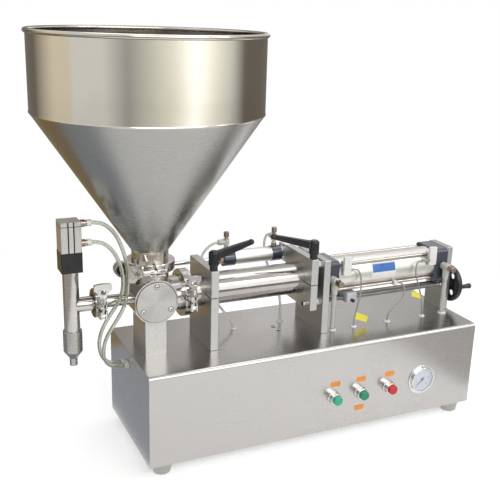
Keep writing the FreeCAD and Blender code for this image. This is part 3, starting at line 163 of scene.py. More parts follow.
def maths(tree, operation, first, second=None):
    """The result of a Math node on numbers or on other nodes' results."""
    node = tree.nodes.new("ShaderNodeMath")
    node.operation = operation
    for socket, value in zip(node.inputs, (first, second)):
        if isinstance(value, (int, float)):
            socket.default_value = value
        elif value is not None:
            tree.links.new(value, socket)
    return node.outputs[0]


def seen_directly(tree):
    """One for rays from the camera, from gloss and through glass, and nought for the rest."""
    path = tree.nodes.new("ShaderNodeLightPath")
    gloss = maths(tree, "MAXIMUM", path.outputs["Is Camera Ray"], path.outputs["Is Glossy Ray"])
    return maths(tree, "MAXIMUM", gloss, path.outputs["Is Transmission Ray"])


def add_world():
    """An even soft light from the room, and plain white where it is seen."""
    world = bpy.context.scene.world or bpy.data.worlds.new("studio")
    bpy.context.scene.world = world
    world.use_nodes = True
    tree = world.node_tree
    tree.nodes.clear()
    out = tree.nodes.new("ShaderNodeOutputWorld")
    mix = tree.nodes.new("ShaderNodeMixShader")
    room = tree.nodes.new("ShaderNodeBackground")
    room.inputs["Color"].default_value = (0.97, 0.98, 1.0, 1)
    room.inputs["Strength"].default_value = 0.5
    white = tree.nodes.new("ShaderNodeBackground")
    white.inputs["Color"].default_value = (1, 1, 1, 1)
    white.inputs["Strength"].default_value = 1.0
    tree.links.new(seen_directly(tree), mix.inputs[0])
    tree.links.new(room.outputs[0], mix.inputs[1])
    tree.links.new(white.outputs[0], mix.inputs[2])
    tree.links.new(mix.outputs[0], out.inputs["Surface"])


def add_floor():
    """Pale paper that keeps the object's shadow and fades to plain white further out."""
    glow = 0.42
    fade_start, fade_end = 0.75, 1.6
    bpy.ops.mesh.primitive_circle_add(vertices=64, radius=14, fill_type="NGON",
                                      location=(0, 0, -0.0005))
    floor = bpy.context.object
    floor.name = "studio_floor"
    paper, tree, shader = new_material("floor_paper")
    shader.inputs["Base Color"].default_value = (0.82, 0.82, 0.82, 1)
    shader.inputs["Roughness"].default_value = 0.9
    shader.inputs["Specular IOR Level"].default_value = 0.1
    direct = seen_directly(tree)
    shader.inputs["Emission Color"].default_value = (1, 1, 1, 1)
    tree.links.new(maths(tree, "MULTIPLY", direct, glow), shader.inputs["Emission Strength"])
    where = tree.nodes.new("ShaderNodeTexCoord")
    distance = tree.nodes.new("ShaderNodeVectorMath")
    distance.operation = "LENGTH"
    tree.links.new(where.outputs["Object"], distance.inputs[0])
    fade = spread(tree, distance.outputs["Value"], 0.0, 1.0, fade_start, fade_end)
    white = tree.nodes.new("ShaderNodeEmission")
    white.inputs["Color"].default_value = (1, 1, 1, 1)
    mix = tree.nodes.new("ShaderNodeMixShader")
    tree.links.new(maths(tree, "MULTIPLY", direct, fade), mix.inputs[0])
    tree.links.new(shader.outputs[0], mix.inputs[1])
    tree.links.new(white.outputs[0], mix.inputs[2])
    tree.links.new(mix.outputs[0], tree.nodes["Material Output"].inputs["Surface"])
    floor.data.materials.append(paper)


def add_studio():
    """Three lamps, cards and rings on the floor, and a round wall with a few light screens."""
    bpy.context.scene.view_settings.view_transform = "Standard"
    add_world()
    add_floor()
    add_lamp("front", (-0.1, -2.5, 2.2), (0, 0, 0.4), (3.4, 0.8), 44, (1, 0.99, 0.97))
    add_lamp("side", (2.2, -1.6, 2.6), (0, 0, 0.3), (0.7, 1.4), 14, (0.97, 0.98, 1))
    add_lamp("top", (0.2, 0.4, 2.9), (0, 0, 0.3), (2.6, 1.4), 22)
    ring_start, ring_middle, wall_reach = 1.25, 2.1, 3.3
    skirting, shoulder, ceiling = 0.28, 0.95, 1.9
    add_floor_ring("card_floor", ring_start, ring_middle, (0.50, 0.47, 0.43))
    add_floor_ring("card_floor_far", ring_middle, wall_reach, (0.30, 0.28, 0.25))
    add_card("card_floor_near", (-0.85, 0.22, 0.002), (-0.85, 0.22, 1), (1.0, 0.62),
             (0.40, 0.42, 0.46))
    add_card("card_floor_left", (-1.25, 1.2, 0.0015), (-1.25, 1.2, 1), (2.0, 1.5),
             (0.33, 0.235, 0.12))
    add_card("card_floor_right", (1.1, -0.7, 0.002), (1.1, -0.7, 1), (1.1, 0.9),
             (0.66, 0.65, 0.64))
    dark, dim, grey = (0.08, 0.07, 0.06), (0.2, 0.2, 0.2), (0.4, 0.4, 0.4)
    warm, pale, bright = (0.4, 0.36, 0.3), (0.55, 0.55, 0.5), (0.9, 0.9, 0.9)
    screens = ((-140, dark), (-110, warm), (-60, grey), (-40, dim), (0, pale), (20, bright),
               (45, pale), (60, grey), (80, dark))
    add_wall("horizon", wall_reach, 0.0, skirting, ((0, dark), (180, dark)), 2.0)
    add_wall("middle_wall", wall_reach, skirting, shoulder,
             screens + ((120, dark), (-170, dark)), 2.6)
    add_wall("upper_wall", wall_reach, shoulder, ceiling,
             screens + ((120, dim), (155, grey), (175, dark)), 2.6)
    add_card("card_back", (0.6, 3.6, 2.4), (0, 0, 0.6), (6.6, 2.2), (0.66, 0.62, 0.58))


# Finishes

def new_material(name):
    """A fresh material with its node tree and its one shader."""
    material = bpy.data.materials.new(name)
    material.use_nodes = True
    tree = material.node_tree
    return material, tree, tree.nodes["Principled BSDF"]


def place_of(tree, stretch=(1, 1, 1), centre=(0, 0, 0), turn=(0, 0, 0)):
    """The piece's own space, moved to a centre, turned and drawn out."""
    where = tree.nodes.new("ShaderNodeTexCoord")
    mapping = tree.nodes.new("ShaderNodeMapping")
    mapping.inputs["Location"].default_value = [-c * s for c, s in zip(centre, stretch)]
    mapping.inputs["Rotation"].default_value = turn
    mapping.inputs["Scale"].default_value = stretch
    tree.links.new(where.outputs["Object"], mapping.inputs["Vector"])
    return mapping.outputs["Vector"]


def grain(tree, stretch, scale, detail=3.0):
    """Noise in the piece's own space, drawn out along the small numbers of stretch."""
    noise = tree.nodes.new("ShaderNodeTexNoise")
    noise.inputs["Scale"].default_value = scale
    noise.inputs["Detail"].default_value = detail
    tree.links.new(place_of(tree, stretch), noise.inputs["Vector"])
    return noise.outputs["Fac"]


def spread(tree, source, low, high, start=0.3, end=0.7):
    """A value that runs from low to high as the source runs from start to end."""
    remap = tree.nodes.new("ShaderNodeMapRange")
    remap.inputs["From Min"].default_value = start
    remap.inputs["From Max"].default_value = end
    remap.inputs["To Min"].default_value = low
    remap.inputs["To Max"].default_value = high
    tree.links.new(source, remap.inputs["Value"])
    return remap.outputs["Result"]


def tint(tree, source, dark, light, start=0.3, end=0.7):
    """A colour that runs from dark to light as the source runs from start to end."""
    ramp = tree.nodes.new("ShaderNodeValToRGB")
    ramp.color_ramp.elements[0].position = start
    ramp.color_ramp.elements[0].color = (*dark, 1)
    ramp.color_ramp.elements[1].position = end
    ramp.color_ramp.elements[1].color = (*light, 1)
    tree.links.new(source, ramp.inputs["Fac"])
    return ramp.outputs["Color"]


def bump(tree, shader, height, strength, distance=0.2):
    """Fine relief on a finish, its depth in mm."""
    node = tree.nodes.new("ShaderNodeBump")
    node.inputs["Strength"].default_value = strength
    node.inputs["Distance"].default_value = distance * MM
    tree.links.new(height, node.inputs["Height"])
    tree.links.new(node.outputs["Normal"], shader.inputs["Normal"])


def steel(name, dark, light, rough, stretch, scale=60.0, depth=0.15):
    """Metal with a drawn grain: streaks of colour, of gloss and of height."""
    material, tree, shader = new_material(name)
    shader.inputs["Metallic"].default_value = 1.0
    streaks = grain(tree, stretch, scale)
    clouds = grain(tree, (1, 1, 1), 9.0, 4.0)
    tree.links.new(tint(tree, streaks, dark, light, 0.25, 0.75), shader.inputs["Base Color"])
    tree.links.new(maths(tree, "ADD", spread(tree, streaks, rough[0], rough[1]),
                         spread(tree, clouds, -0.03, 0.03)), shader.inputs["Roughness"])
    if depth:
        bump(tree, shader, streaks, depth)
    return material


def turned_steel(name, centre, axis, dark, light, rough, pitch=0.7):
    """Metal faced on a lathe: fine rings about a centre, and a painted sheen of lighter and
    darker sectors by angle in its colour.
    """
    material, tree, shader = new_material(name)
    shader.inputs["Metallic"].default_value = 1.0
    wave = tree.nodes.new("ShaderNodeTexWave")
    wave.wave_type = "RINGS"
    wave.rings_direction = axis
    wave.inputs["Scale"].default_value = WAVE / (pitch * MM)
    wave.inputs["Distortion"].default_value = 1.5
    wave.inputs["Detail"].default_value = 2.0
    tree.links.new(place_of(tree, (1, 1, 1), centre), wave.inputs["Vector"])
    rings = wave.outputs["Fac"]
    around = tree.nodes.new("ShaderNodeTexGradient")
    around.gradient_type = "RADIAL"
    tree.links.new(place_of(tree, (1, 1, 1), (centre[0], -centre[2], 0), (math.pi / 2, 0, 0)),
                   around.inputs["Vector"])
    # Painted sheen: four sectors round the centre, two lighter and two darker, painted into the
    # colour; the rings add the real turned tone
    painted_sheen_lobes = maths(tree, "SINE", maths(tree, "MULTIPLY", around.outputs["Fac"], 4 * math.pi))
    sheen = maths(tree, "ADD", spread(tree, painted_sheen_lobes, 0.0, 0.7, -1, 1),
                  spread(tree, rings, 0.0, 0.3, 0, 1))
    tree.links.new(tint(tree, sheen, dark, light, 0.05, 0.95), shader.inputs["Base Color"])
    tree.links.new(spread(tree, rings, rough[0], rough[1], 0, 1), shader.inputs["Roughness"])
    bump(tree, shader, rings, 0.5, 0.12)
    return material


def threaded_steel(name, dark, light, pitch=1.6):
    """A plated thread along X: dark roots between bright crests."""
    material, tree, shader = new_material(name)
    shader.inputs["Metallic"].default_value = 1.0
    wave = tree.nodes.new("ShaderNodeTexWave")
    wave.wave_type = "BANDS"
    wave.bands_direction = "X"
    wave.inputs["Scale"].default_value = WAVE / (pitch * MM)
    tree.links.new(place_of(tree), wave.inputs["Vector"])
    turns = wave.outputs["Fac"]
    tree.links.new(tint(tree, turns, dark, light, 0.2, 0.8), shader.inputs["Base Color"])
    tree.links.new(spread(tree, turns, 0.38, 0.2, 0, 1), shader.inputs["Roughness"])
    bump(tree, shader, turns, 0.9, 0.5)
    return material


def moulded(name, dark, light, rough, grain_scale=700.0, depth=0.2, coat=0.0):
    """Moulded plastic, rubber or enamel: faint clouds of colour over a fine grain."""
    material, tree, shader = new_material(name)
    clouds = grain(tree, (1, 1, 1), 24.0, 3.0)
    fine = grain(tree, (1, 1, 1), grain_scale, 2.0)
    tree.links.new(tint(tree, clouds, dark, light), shader.inputs["Base Color"])
    tree.links.new(spread(tree, clouds, rough[0], rough[1]), shader.inputs["Roughness"])
    shader.inputs["Coat Weight"].default_value = coat
    bump(tree, shader, fine, depth, 0.1)
    return material


def clear_plastic(name, dark, light, rough, through):
    """Translucent hose or fitting body, part plastic and part clear."""
    material = moulded(name, dark, light, rough, 500.0, 0.05, 0.3)
    shader = material.node_tree.nodes["Principled BSDF"]
    shader.inputs["Transmission Weight"].default_value = through
    shader.inputs["IOR"].default_value = 1.42
    return material


def clear_pane(name):
    """A thin clear pane: almost all light passes, the rest is gloss."""
    material = moulded(name, (0.86, 0.88, 0.90), (0.92, 0.93, 0.94), (0.03, 0.06), 200.0, 0.01)
    shader = material.node_tree.nodes["Principled BSDF"]
    shader.inputs["Alpha"].default_value = 0.14
    return material


MATERIALS = {
    "sheet": steel("sheet_satin", (0.455, 0.44, 0.425), (0.505, 0.49, 0.475), (0.22, 0.28),
                   (1.5, 60, 60), 20.0, 0.012),
    "plate": steel("plate_satin", (0.50, 0.50, 0.49), (0.58, 0.58, 0.57), (0.36, 0.44),
                   (6, 6, 1.0), 120.0, 0.06),
    "hopper": steel("hopper_satin", (0.54, 0.515, 0.455), (0.56, 0.535, 0.47), (0.13, 0.16),
                    (1.2, 1.2, 40), 12.0, 0.0),
    # The hopper's cone: the hopper's steel painted darker as shade, with a rougher gloss
    "cone": steel("cone_satin_painted_shade", (0.355, 0.35, 0.33), (0.375, 0.37, 0.35), (0.27, 0.29),
                  (1.2, 1.2, 40), 12.0, 0.0),
    # The hopper's inside: the same steel painted darker as shade
    "inside": steel("hopper_inside_painted_shade", (0.36, 0.345, 0.32), (0.46, 0.445, 0.415), (0.14, 0.2),
                    (1.2, 1.2, 40), 12.0, 0.0),
    "milled": steel("milled_steel", (0.50, 0.50, 0.49), (0.62, 0.62, 0.61), (0.34, 0.42),
                    (6, 6, 1.0), 120.0, 0.08),
    "foot": steel("foot_steel", (0.34, 0.33, 0.31), (0.44, 0.43, 0.41), (0.2, 0.3),
                  (1, 1, 20), 60.0, 0.05),
    # The valve covers' turned finish, with a painted sheen in sectors round the valve's middle
    "cover": turned_steel("turned_cover_painted_sheen", VALVE, "Y", (0.44, 0.43, 0.41), (0.60, 0.59, 0.57),
                          (0.22, 0.32)),
    "polished": steel("polished_steel", (0.47, 0.455, 0.43), (0.57, 0.555, 0.53), (0.10, 0.16),
                      (1, 14, 14), 30.0, 0.04),
    "drawn": steel("drawn_tube_steel", (0.375, 0.355, 0.335), (0.44, 0.42, 0.395),
                   (0.10, 0.16), (1, 14, 14), 30.0, 0.03),
    "cast": steel("cast_steel", (0.54, 0.53, 0.51), (0.70, 0.69, 0.67), (0.10, 0.18),
                  (1, 1, 1), 160.0, 0.12),
    # Dark steel for painted shade: gaps, recesses and creases painted dark where shade falls
    "painted_shade": steel("painted_shade_steel", (0.12, 0.10, 0.085), (0.20, 0.175, 0.15), (0.2, 0.3),
                    (1, 1, 1), 160.0, 0.05),
    "tie": steel("tie_rod_steel", (0.40, 0.36, 0.32), (0.54, 0.50, 0.46), (0.10, 0.16),
                 (1, 8, 8), 60.0, 0.03),
    "plated": steel("plated_steel", (0.58, 0.58, 0.58), (0.70, 0.70, 0.70), (0.12, 0.2),
                    (1, 8, 8), 60.0, 0.05),
    "thread": threaded_steel("threaded_steel", (0.10, 0.10, 0.10), (0.55, 0.55, 0.55)),
    "anodised": steel("anodised_silver", (0.68, 0.665, 0.63), (0.76, 0.745, 0.71), (0.34, 0.42),
                      (1, 10, 10), 80.0, 0.05),
    "block": steel("air_block_silver", (0.62, 0.625, 0.595), (0.70, 0.705, 0.675), (0.30, 0.38),
                   (10, 10, 1), 80.0, 0.05),
    "black": moulded("black_plastic", (0.007, 0.007, 0.009), (0.016, 0.016, 0.019),
                     (0.22, 0.32), 500.0, 0.1),
    "navy": moulded("navy_anodised", (0.024, 0.030, 0.050), (0.042, 0.050, 0.078),
                    (0.20, 0.30), 700.0, 0.1, 0.6),
    "white": moulded("white_plastic", (0.74, 0.74, 0.71), (0.84, 0.84, 0.81), (0.32, 0.42)),
    "pale": moulded("pale_grey_plastic", (0.52, 0.52, 0.47), (0.62, 0.62, 0.56), (0.30, 0.4)),
    "lavender": moulded("stop_block_grey", (0.56, 0.56, 0.60), (0.66, 0.66, 0.70), (0.3, 0.4)),
    "brass": steel("brass_nut", (0.42, 0.32, 0.23), (0.62, 0.51, 0.39), (0.18, 0.3),
                   (1, 1, 1), 90.0, 0.08),
    "brown": steel("bronzed_nut", (0.27, 0.225, 0.19), (0.38, 0.33, 0.28), (0.24, 0.34),
                   (1, 1, 1), 90.0, 0.08),
    "green": moulded("green_cap", (0.000, 0.20, 0.095), (0.004, 0.28, 0.14), (0.2, 0.3),
                     400.0, 0.03, 0.15),
    "teal": moulded("pale_green_cap", (0.02, 0.36, 0.22), (0.035, 0.45, 0.29), (0.2, 0.3),
                    400.0, 0.03, 0.15),
    "red": moulded("red_cap", (0.50, 0.004, 0.012), (0.62, 0.008, 0.020), (0.2, 0.3),
                   400.0, 0.03, 0.15),
    "hose": clear_plastic("clear_hose", (0.52, 0.53, 0.46), (0.62, 0.63, 0.55),
                          (0.06, 0.14), 0.72),
    "tube": clear_plastic("milky_tube", (0.74, 0.73, 0.68), (0.84, 0.83, 0.78),
                          (0.10, 0.2), 0.5),
    "wire": moulded("grey_wire", (0.26, 0.26, 0.25), (0.36, 0.36, 0.34), (0.35, 0.45)),
    "dial": moulded("dial_card", (0.62, 0.66, 0.76), (0.70, 0.74, 0.83), (0.4, 0.5)),
    "ink": moulded("dial_ink", (0.05, 0.055, 0.08), (0.08, 0.085, 0.12), (0.4, 0.5)),
    "glass": clear_pane("gauge_pane"),
    "orange": moulded("orange_tape", (0.80, 0.24, 0.02), (0.92, 0.34, 0.04), (0.30, 0.42)),
    "yellow": moulded("yellow_tag", (0.80, 0.72, 0.02), (0.92, 0.84, 0.08), (0.30, 0.42)),
    "blue": moulded("blue_band", (0.03, 0.13, 0.42), (0.05, 0.18, 0.52), (0.25, 0.35)),
}


# Cords

def add_cord(node, exit_finish, radius, route):
    """A flexible line on the CAD route's points, as one smooth spline."""
    curve = bpy.data.curves.new(node + "_line", "CURVE")
    curve.dimensions = "3D"
    curve.bevel_depth = radius * MM
    curve.bevel_resolution = 5
    curve.resolution_u = 8
    curve.use_fill_caps = True
    spline = curve.splines.new("NURBS")
    spline.points.add(len(route) - 1)
    for point, place in zip(spline.points, route):
        point.co = (place[0] * MM, place[1] * MM, place[2] * MM, 1)
    spline.order_u = 3
    spline.use_endpoint_u = True
    line = bpy.data.objects.new(node + "_line", curve)
    bpy.context.scene.collection.objects.link(line)
    curve.materials.append(MATERIALS[exit_finish])
    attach(line, BODY_OF[node])
    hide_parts(node)


HOSE_UPPER = ((-409.5, 0, 512), (-389.5, 0, 512), (-371.5, -6, 504), (-356.5, -13, 486),
              (-345.5, -18, 458), (-338.5, -22, 428), (-337.5, -25, 397), (-339.5, -26, 366),
              (-345.5, -25, 338), (-358.5, -21, 312), (-372.5, -15, 287), (-383.5, -10, 262),
              (-387.5, -5, 231), (-380, -1, 208), (-362, 2, 195), (-340, 2, 195))
HOSE_LOWER = ((-409.5, 0, 472), (-389.5, 0, 472), (-371.5, -6, 463), (-357.5, -13, 444),
              (-348.5, -19, 417), (-346.5, -24, 387), (-352.5, -27, 359), (-367.5, -26, 336),
              (-381.5, -20, 311), (-390.5, -9, 284), (-393.5, 2, 255), (-389, 12, 229),
              (-379.5, 21, 207), (-362, 26, 193), (-340, 26, 193))
TUBE_LEFT = ((-94, 78, 419.7), (-107, 78, 419.7), (-120, 82, 411.7), (-131, 88, 396.7),
             (-137, 91, 375.7), (-137, 87, 351.7), (-131, 78, 326.7), (-120, 67, 302.7),
             (-104.5, 54, 277.7), (-76.5, 36, 240), (-76.5, 36, 222))
TUBE_RIGHT = ((39, 92, 419.7), (39, 108, 419.7), (39, 122, 408.7), (39, 129, 387.7),
              (39, 123, 362.7), (39.5, 106, 342.7), (40, 84, 328.7), (40, 62, 313.7),
              (40.5, 45, 295.7), (41, 37, 272.7), (41, 36, 247), (41, 36, 222))
WIRE_LEFT = ((178, -45, 364), (188, -45, 364), (197, -45.5, 357), (202, -47, 340),
             (203, -48, 320), (202, -48, 300), (198, -48, 280), (192, -50, 260),
             (186.5, -52, 241), (186.5, -52, 222))
WIRE_RIGHT = ((368, -45, 364), (359, -45, 364), (352.5, -46.5, 355), (351.5, -48, 339),
              (356, -48.5, 321), (364, -48.5, 302), (371, -48.5, 282), (375.5, -50, 262),
              (376.5, -52, 242), (376.5, -52, 222))
WIRE_LOWER = ((309, -38.5, 314), (318, -38.5, 314), (326, -40, 307), (329, -43, 294),
              (324, -46, 280), (313, -48, 269), (300, -49.5, 260), (287, -51, 253),
              (278, -52, 242), (278, -52, 222))


# Working by hand: picking, shaping and finishing a piece

def pick(piece):
    """Select one piece alone."""
    bpy.ops.object.select_all(action="DESELECT")
    piece.select_set(True)
    bpy.context.view_layer.objects.active = piece


def use_modifier(piece, kind, **settings):
    pick(piece)
    bpy.ops.object.modifier_add(type=kind)
    modifier = piece.modifiers[-1]
    for key, value in settings.items():
        setattr(modifier, key, value)
    bpy.ops.object.modifier_apply(modifier=modifier.name)


def choose(piece, kind, wanted):
    """Go into edit mode with only the wanted edges or faces picked."""
    pick(piece)
    bpy.ops.object.mode_set(mode="EDIT")
    bpy.ops.mesh.select_mode(type=kind)
    bpy.ops.mesh.select_all(action="DESELECT")
    bpy.ops.object.mode_set(mode="OBJECT")
    mesh = piece.data
    for part in mesh.edges if kind == "EDGE" else mesh.polygons:
        part.select = wanted(mesh, part)
    bpy.ops.object.mode_set(mode="EDIT")


def runs_along(axis):
    """Whether an edge lies along one of the axes."""
    def wanted(mesh, edge):
        start, end = (mesh.vertices[number].co for number in edge.vertices)
        return abs((end - start).normalized()["XYZ".index(axis)]) > 0.9
    return wanted


def round_edges(piece, width, angle=35):
    """Break the edges that turn by more than the angle."""
    use_modifier(piece, "BEVEL", width=width * MM, segments=2, limit_method="ANGLE",
                 angle_limit=math.radians(angle), use_clamp_overlap=False)


def shade(piece, angle=50):
    """Shade curves smooth and keep the edges past the angle sharp."""
    pick(piece)
    bpy.ops.object.shade_smooth_by_angle(angle=math.radians(angle))
    use_modifier(piece, "WEIGHTED_NORMAL", keep_sharp=True)


def set_down(piece, name, body, finish):
    """Bring a finished piece's place into its mesh and hang it on its body."""
    pick(piece)
    bpy.ops.object.transform_apply(location=True, rotation=True, scale=True)
    piece.name = name
    piece.data.name = name
    piece.data.materials.clear()
    piece.data.materials.append(MATERIALS[finish])
    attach(piece, body)


def copy_to(piece, name, move, body):
    """Another of the same piece, with a mesh of its own, moved in its mesh."""
    twin = bpy.data.objects.new(name, piece.data.copy())
    bpy.context.scene.collection.objects.link(twin)
    twin.data.transform(Matrix.Translation(Vector(move) * MM))
    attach(twin, body)


def dress(node, finish, edge=0.4, smooth=50, merge=True):
    """The solid's own shape with its sharp edges broken and its curves shaded."""
    source = NODES[node]
    piece = bpy.data.objects.new(node + "_finished", source.data.copy())
    bpy.context.scene.collection.objects.link(piece)
    pick(piece)
    bpy.ops.object.mode_set(mode="EDIT")
    bpy.ops.mesh.select_all(action="SELECT")
    bpy.ops.mesh.remove_doubles(threshold=0.01 * MM)
    if merge:
        bpy.ops.mesh.dissolve_limited(angle_limit=math.radians(0.5))
    bpy.ops.object.mode_set(mode="OBJECT")
    if edge:
        round_edges(piece, edge)
    shade(piece, smooth)
    piece.data.materials.clear()
    piece.data.materials.append(MATERIALS[finish])
    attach(piece, BODY_OF[node])
    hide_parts(node)
    return piece


def paint(piece, finish, x=None, y=None, z=None, normal=None, test=None):
    """Another finish for the faces whose middle lies between the given bounds in mm."""
    piece.data.materials.append(MATERIALS[finish])
    slot = len(piece.data.materials) - 1
    for face in piece.data.polygons:
        spot = face.center / MM
        inside = all(span is None or span[0] <= value <= span[1]
                     for span, value in zip((x, y, z), spot))
        turned_so = normal is None or face.normal.dot(Vector(normal)) > 0.7
        if inside and turned_so and (test is None or test(spot, face.normal)):
            face.material_index = slot


def turned(name, place, axis, profile, body, finish, sides=48):
    """A ring drawn out and widened step by step along (radius, height), and closed."""
    bpy.ops.object.select_all(action="DESELECT")
    radius, height = profile[0]
    bpy.ops.mesh.primitive_circle_add(vertices=sides, radius=radius * MM)
    piece = bpy.context.object
    bpy.ops.object.mode_set(mode="EDIT")
    bpy.ops.mesh.select_all(action="SELECT")
    bpy.ops.transform.translate(value=(0, 0, height * MM))
    for (near, low), (wide, high) in zip(profile, profile[1:]):
        bpy.ops.mesh.extrude_region_move(
            TRANSFORM_OT_translate={"value": (0, 0, (high - low) * MM)})
        bpy.ops.transform.resize(value=(wide / near, wide / near, 1),
                                 center_override=(0, 0, high * MM))
    bpy.ops.mesh.select_all(action="SELECT")
    bpy.ops.mesh.remove_doubles(threshold=0.001 * MM)
    bpy.ops.mesh.fill_holes(sides=0)
    bpy.ops.mesh.normals_make_consistent(inside=False)
    bpy.ops.object.mode_set(mode="OBJECT")
    piece.rotation_euler = Vector(axis).to_track_quat("Z", "Y").to_euler()
    piece.location = Vector(place) * MM
    set_down(piece, name, body, finish)
    shade(piece, 40)
    return piece


def slab(name, low, high, corner, along, body, finish, edge=0.0):
    """A block between two corners, its edges along one axis rounded."""
    bpy.ops.object.select_all(action="DESELECT")
    middle = [(a + b) / 2 * MM for a, b in zip(low, high)]
    bpy.ops.mesh.primitive_cube_add(size=1, location=middle)
    piece = bpy.context.object
    piece.scale = [(b - a) * MM for a, b in zip(low, high)]
    bpy.ops.object.transform_apply(location=False, rotation=False, scale=True)
    choose(piece, "EDGE", runs_along(along))
    bpy.ops.mesh.bevel(offset=corner * MM, segments=4)
    bpy.ops.mesh.select_all(action="SELECT")
    bpy.ops.mesh.normals_make_consistent(inside=False)
    bpy.ops.object.mode_set(mode="OBJECT")
    if edge:
        round_edges(piece, edge, 60)
    set_down(piece, name, body, finish)
    shade(piece)
    return piece


# Dressed solids, from the floor up

def finish_base():
    dress("base_housing", "sheet", 0.5)
    dress("bottom_plate", "plate", 0.3)
    dress("levelling_feet", "foot", 0.5)
    grommets = dress("deck_grommets", "white", 0.3)
    deck = DECK / MM
    paint(grommets, "black", z=(deck - 3, deck + 1.2), x=(8, 22), y=(-13, 20))
    dress("pedestal_blocks", "milled", 0.0, smooth=20)
    dress("control_units", "pale", 0.8)


def finish_valve():
    body = dress("valve_body", "polished", 0.5, merge=False)
    paint(body, "milled", y=(-42.5, -41.5), normal=(0, -1, 0))
    dress("valve_covers", "cover", 0.4)
    screws = dress("button_screws", "plated", 0.2)
    # Painted shade: the floors of the screw heads' sockets are painted black
    paint(screws, "black", y=(-45.4, -45.02), z=(300, 400), normal=(0, -1, 0))
    middle, rise = VALVE[0] / MM, VALVE[2] / MM
    body_face, cover_face = -42, -45
    cover_radius, gap_shadow_radius = 42.6, 44.2
    # Painted shadow: a thin dark ring laid in the gap between the cover and the valve body
    turned("cover_gap_shadow_ring", (middle, body_face, rise), (0, -1, 0),
           [(cover_radius, -0.2), (gap_shadow_radius, -0.2), (gap_shadow_radius, 0.3),
            (cover_radius, 0.3), (cover_radius, -0.2)],
           "frame", "painted_shade", 96)
    # Painted shadow: thin dark rings round the heads of the three cover screws
    for number, (across, up) in enumerate(((0, 34), (-29.4, -17), (29.4, -17))):
        turned("cover_screw_shadow_ring_%d" % number, (middle + across, cover_face, rise + up),
               (0, -1, 0),
               [(4.6, -0.1), (6.0, -0.1), (6.0, 0.15), (5.4, 0.3), (4.6, 0.3), (4.6, -0.1)],
               "frame", "brown", 32)
    dress("valve_rotor", "milled", 0.4)
    dress("crank_arm", "milled", 0.5)
    clamps = dress("ferrule_clamps", "cast", 0.0, smooth=35)

    def in_painted_clamp_shade(spot, normal):
        reach = math.hypot(spot.y, spot.z - rise)
        cylinder_clamp = -222 < spot.x < -200 and 33 < reach < 45
        nozzle_clamp = -405 < spot.x < -383 and 15 < reach < 24.5
        return cylinder_clamp or nozzle_clamp

    # Painted shade: the clamps' faces in these ring bands take the dark shade finish
    paint(clamps, "painted_shade", test=in_painted_clamp_shade)
    for nut in ("hopper_wing_nut", "cylinder_wing_nut", "nozzle_wing_nut"):
        dress(nut, "cast", 0.0, smooth=35)
    dress("clamp_seals", "white", 0.2)


def finish_valve_drive():
    cylinder = dress("valve_cylinder", "anodised", 0.5)
    paint(cylinder, "brass", x=(-99, -89.2))
    paint(cylinder, "navy", x=(-89.2, -61.8))
    paint(cylinder, "navy", x=(29.8, 54.2))
    paint(cylinder, "plated", x=(54.2, 80))
    dress("valve_cylinder_rod", "cast", 0.4)
    pin = (-320.5, 73, 381.5)
    turned("rod_eye_liner", pin, (0, -1, 0),
           [(5.5, -0.5), (12.5, -0.5), (12.5, 0.6), (11.8, 1.1), (7.0, 1.1), (5.5, 0.6),
            (5.5, -0.5)], "valve_rod", "black", 48)
    turned("rod_eye_ball", pin, (0, -1, 0),
           [(1.0, 1.4), (3.5, 1.4), (5.2, 0.8), (5.4, -0.5)], "valve_rod", "brown", 32)
    dress("cylinder_bracket", "plated", 0.4)
    controls = dress("flow_controls", "pale", 0.3, merge=False)
    paint(controls, "brown", z=(431, 444), y=(70, 86))
    paint(controls, "brass", z=(426, 431), y=(70, 86))
    paint(controls, "brass", z=(396, 407), y=(70, 86))


def hopper_outline():
    """Radius and height up the outside, over the rolled rim and down the inside."""
    bore, inside, outside = 36.5, 224.5, 226
    foot, top = 417, 869
    roll = 4.5
    ferrule = [(bore, foot), (45, foot), (45.5, 417.5), (45.5, 420.2), (38, 423.2)]
    neck_weld = [(38, 444.5), (38.9, 445.5), (39.5, 447.5), (40.2, 449.2)]
    cone_weld = [(225.0, 723.5), (226.4, 724.6), (226.9, 725.6), (226.6, 726.8)]
    band = [(outside, height) for height in (727.8, 760, 820, top)]
    rim = []
    for step in range(1, 19):
        angle = math.radians(-90 + 19 * step)
        rim.append((outside + roll * math.cos(angle), top + roll + roll * math.sin(angle)))
    back_down = [(inside, height) for height in (top, 820, 760, 725)]
    return ferrule + neck_weld + cone_weld + band + rim + back_down + [(bore, 446), (bore, foot)]


def finish_hopper():
    """The spun hopper, with its two welds and its rolled rim; its cone and its inside are
    painted darker as shade.
    """
    hopper = turned("hopper_spun", (VALVE[0] / MM, 0, 0), (0, 0, 1), hopper_outline(), "frame",
                    "hopper", 160)
    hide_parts("hopper")

    def faces_in(spot, normal):
        return normal.x * (spot.x - VALVE[0] / MM) + normal.y * spot.y < 0

    # Painted shade: the cone and the inside take darker copies of the hopper's steel
    paint(hopper, "cone", z=(449, 723))
    paint(hopper, "inside", z=(417, 869), test=faces_in)
    # Painted shade: dark lines under the rolled rim and along the inner side of its top
    paint(hopper, "painted_shade", z=(869, 870.4))
    paint(hopper, "painted_shade", z=(876.3, 880), test=faces_in)


def finish_filling():
    dress("filling_cylinder", "drawn", 0.4)
    dress("filling_piston", "white", 0.3)
    dress("piston_rod", "plated", 0.3)
    dress("clamp_plate_left", "plate", 0.5)
    dress("clamp_plate_middle", "plate", 0.5)
    dress("mount_plate", "plate", 0.5)
    screws = dress("joining_screws", "plated", 0.4)
    paint(screws, "black", x=(54.5, 59.5), normal=(-1, 0, 0))
    paint(screws, "white", x=(80.4, 95.1))
    dress("lever_left", "black", 0.9, merge=False)
    dress("lever_right", "black", 0.9, merge=False)


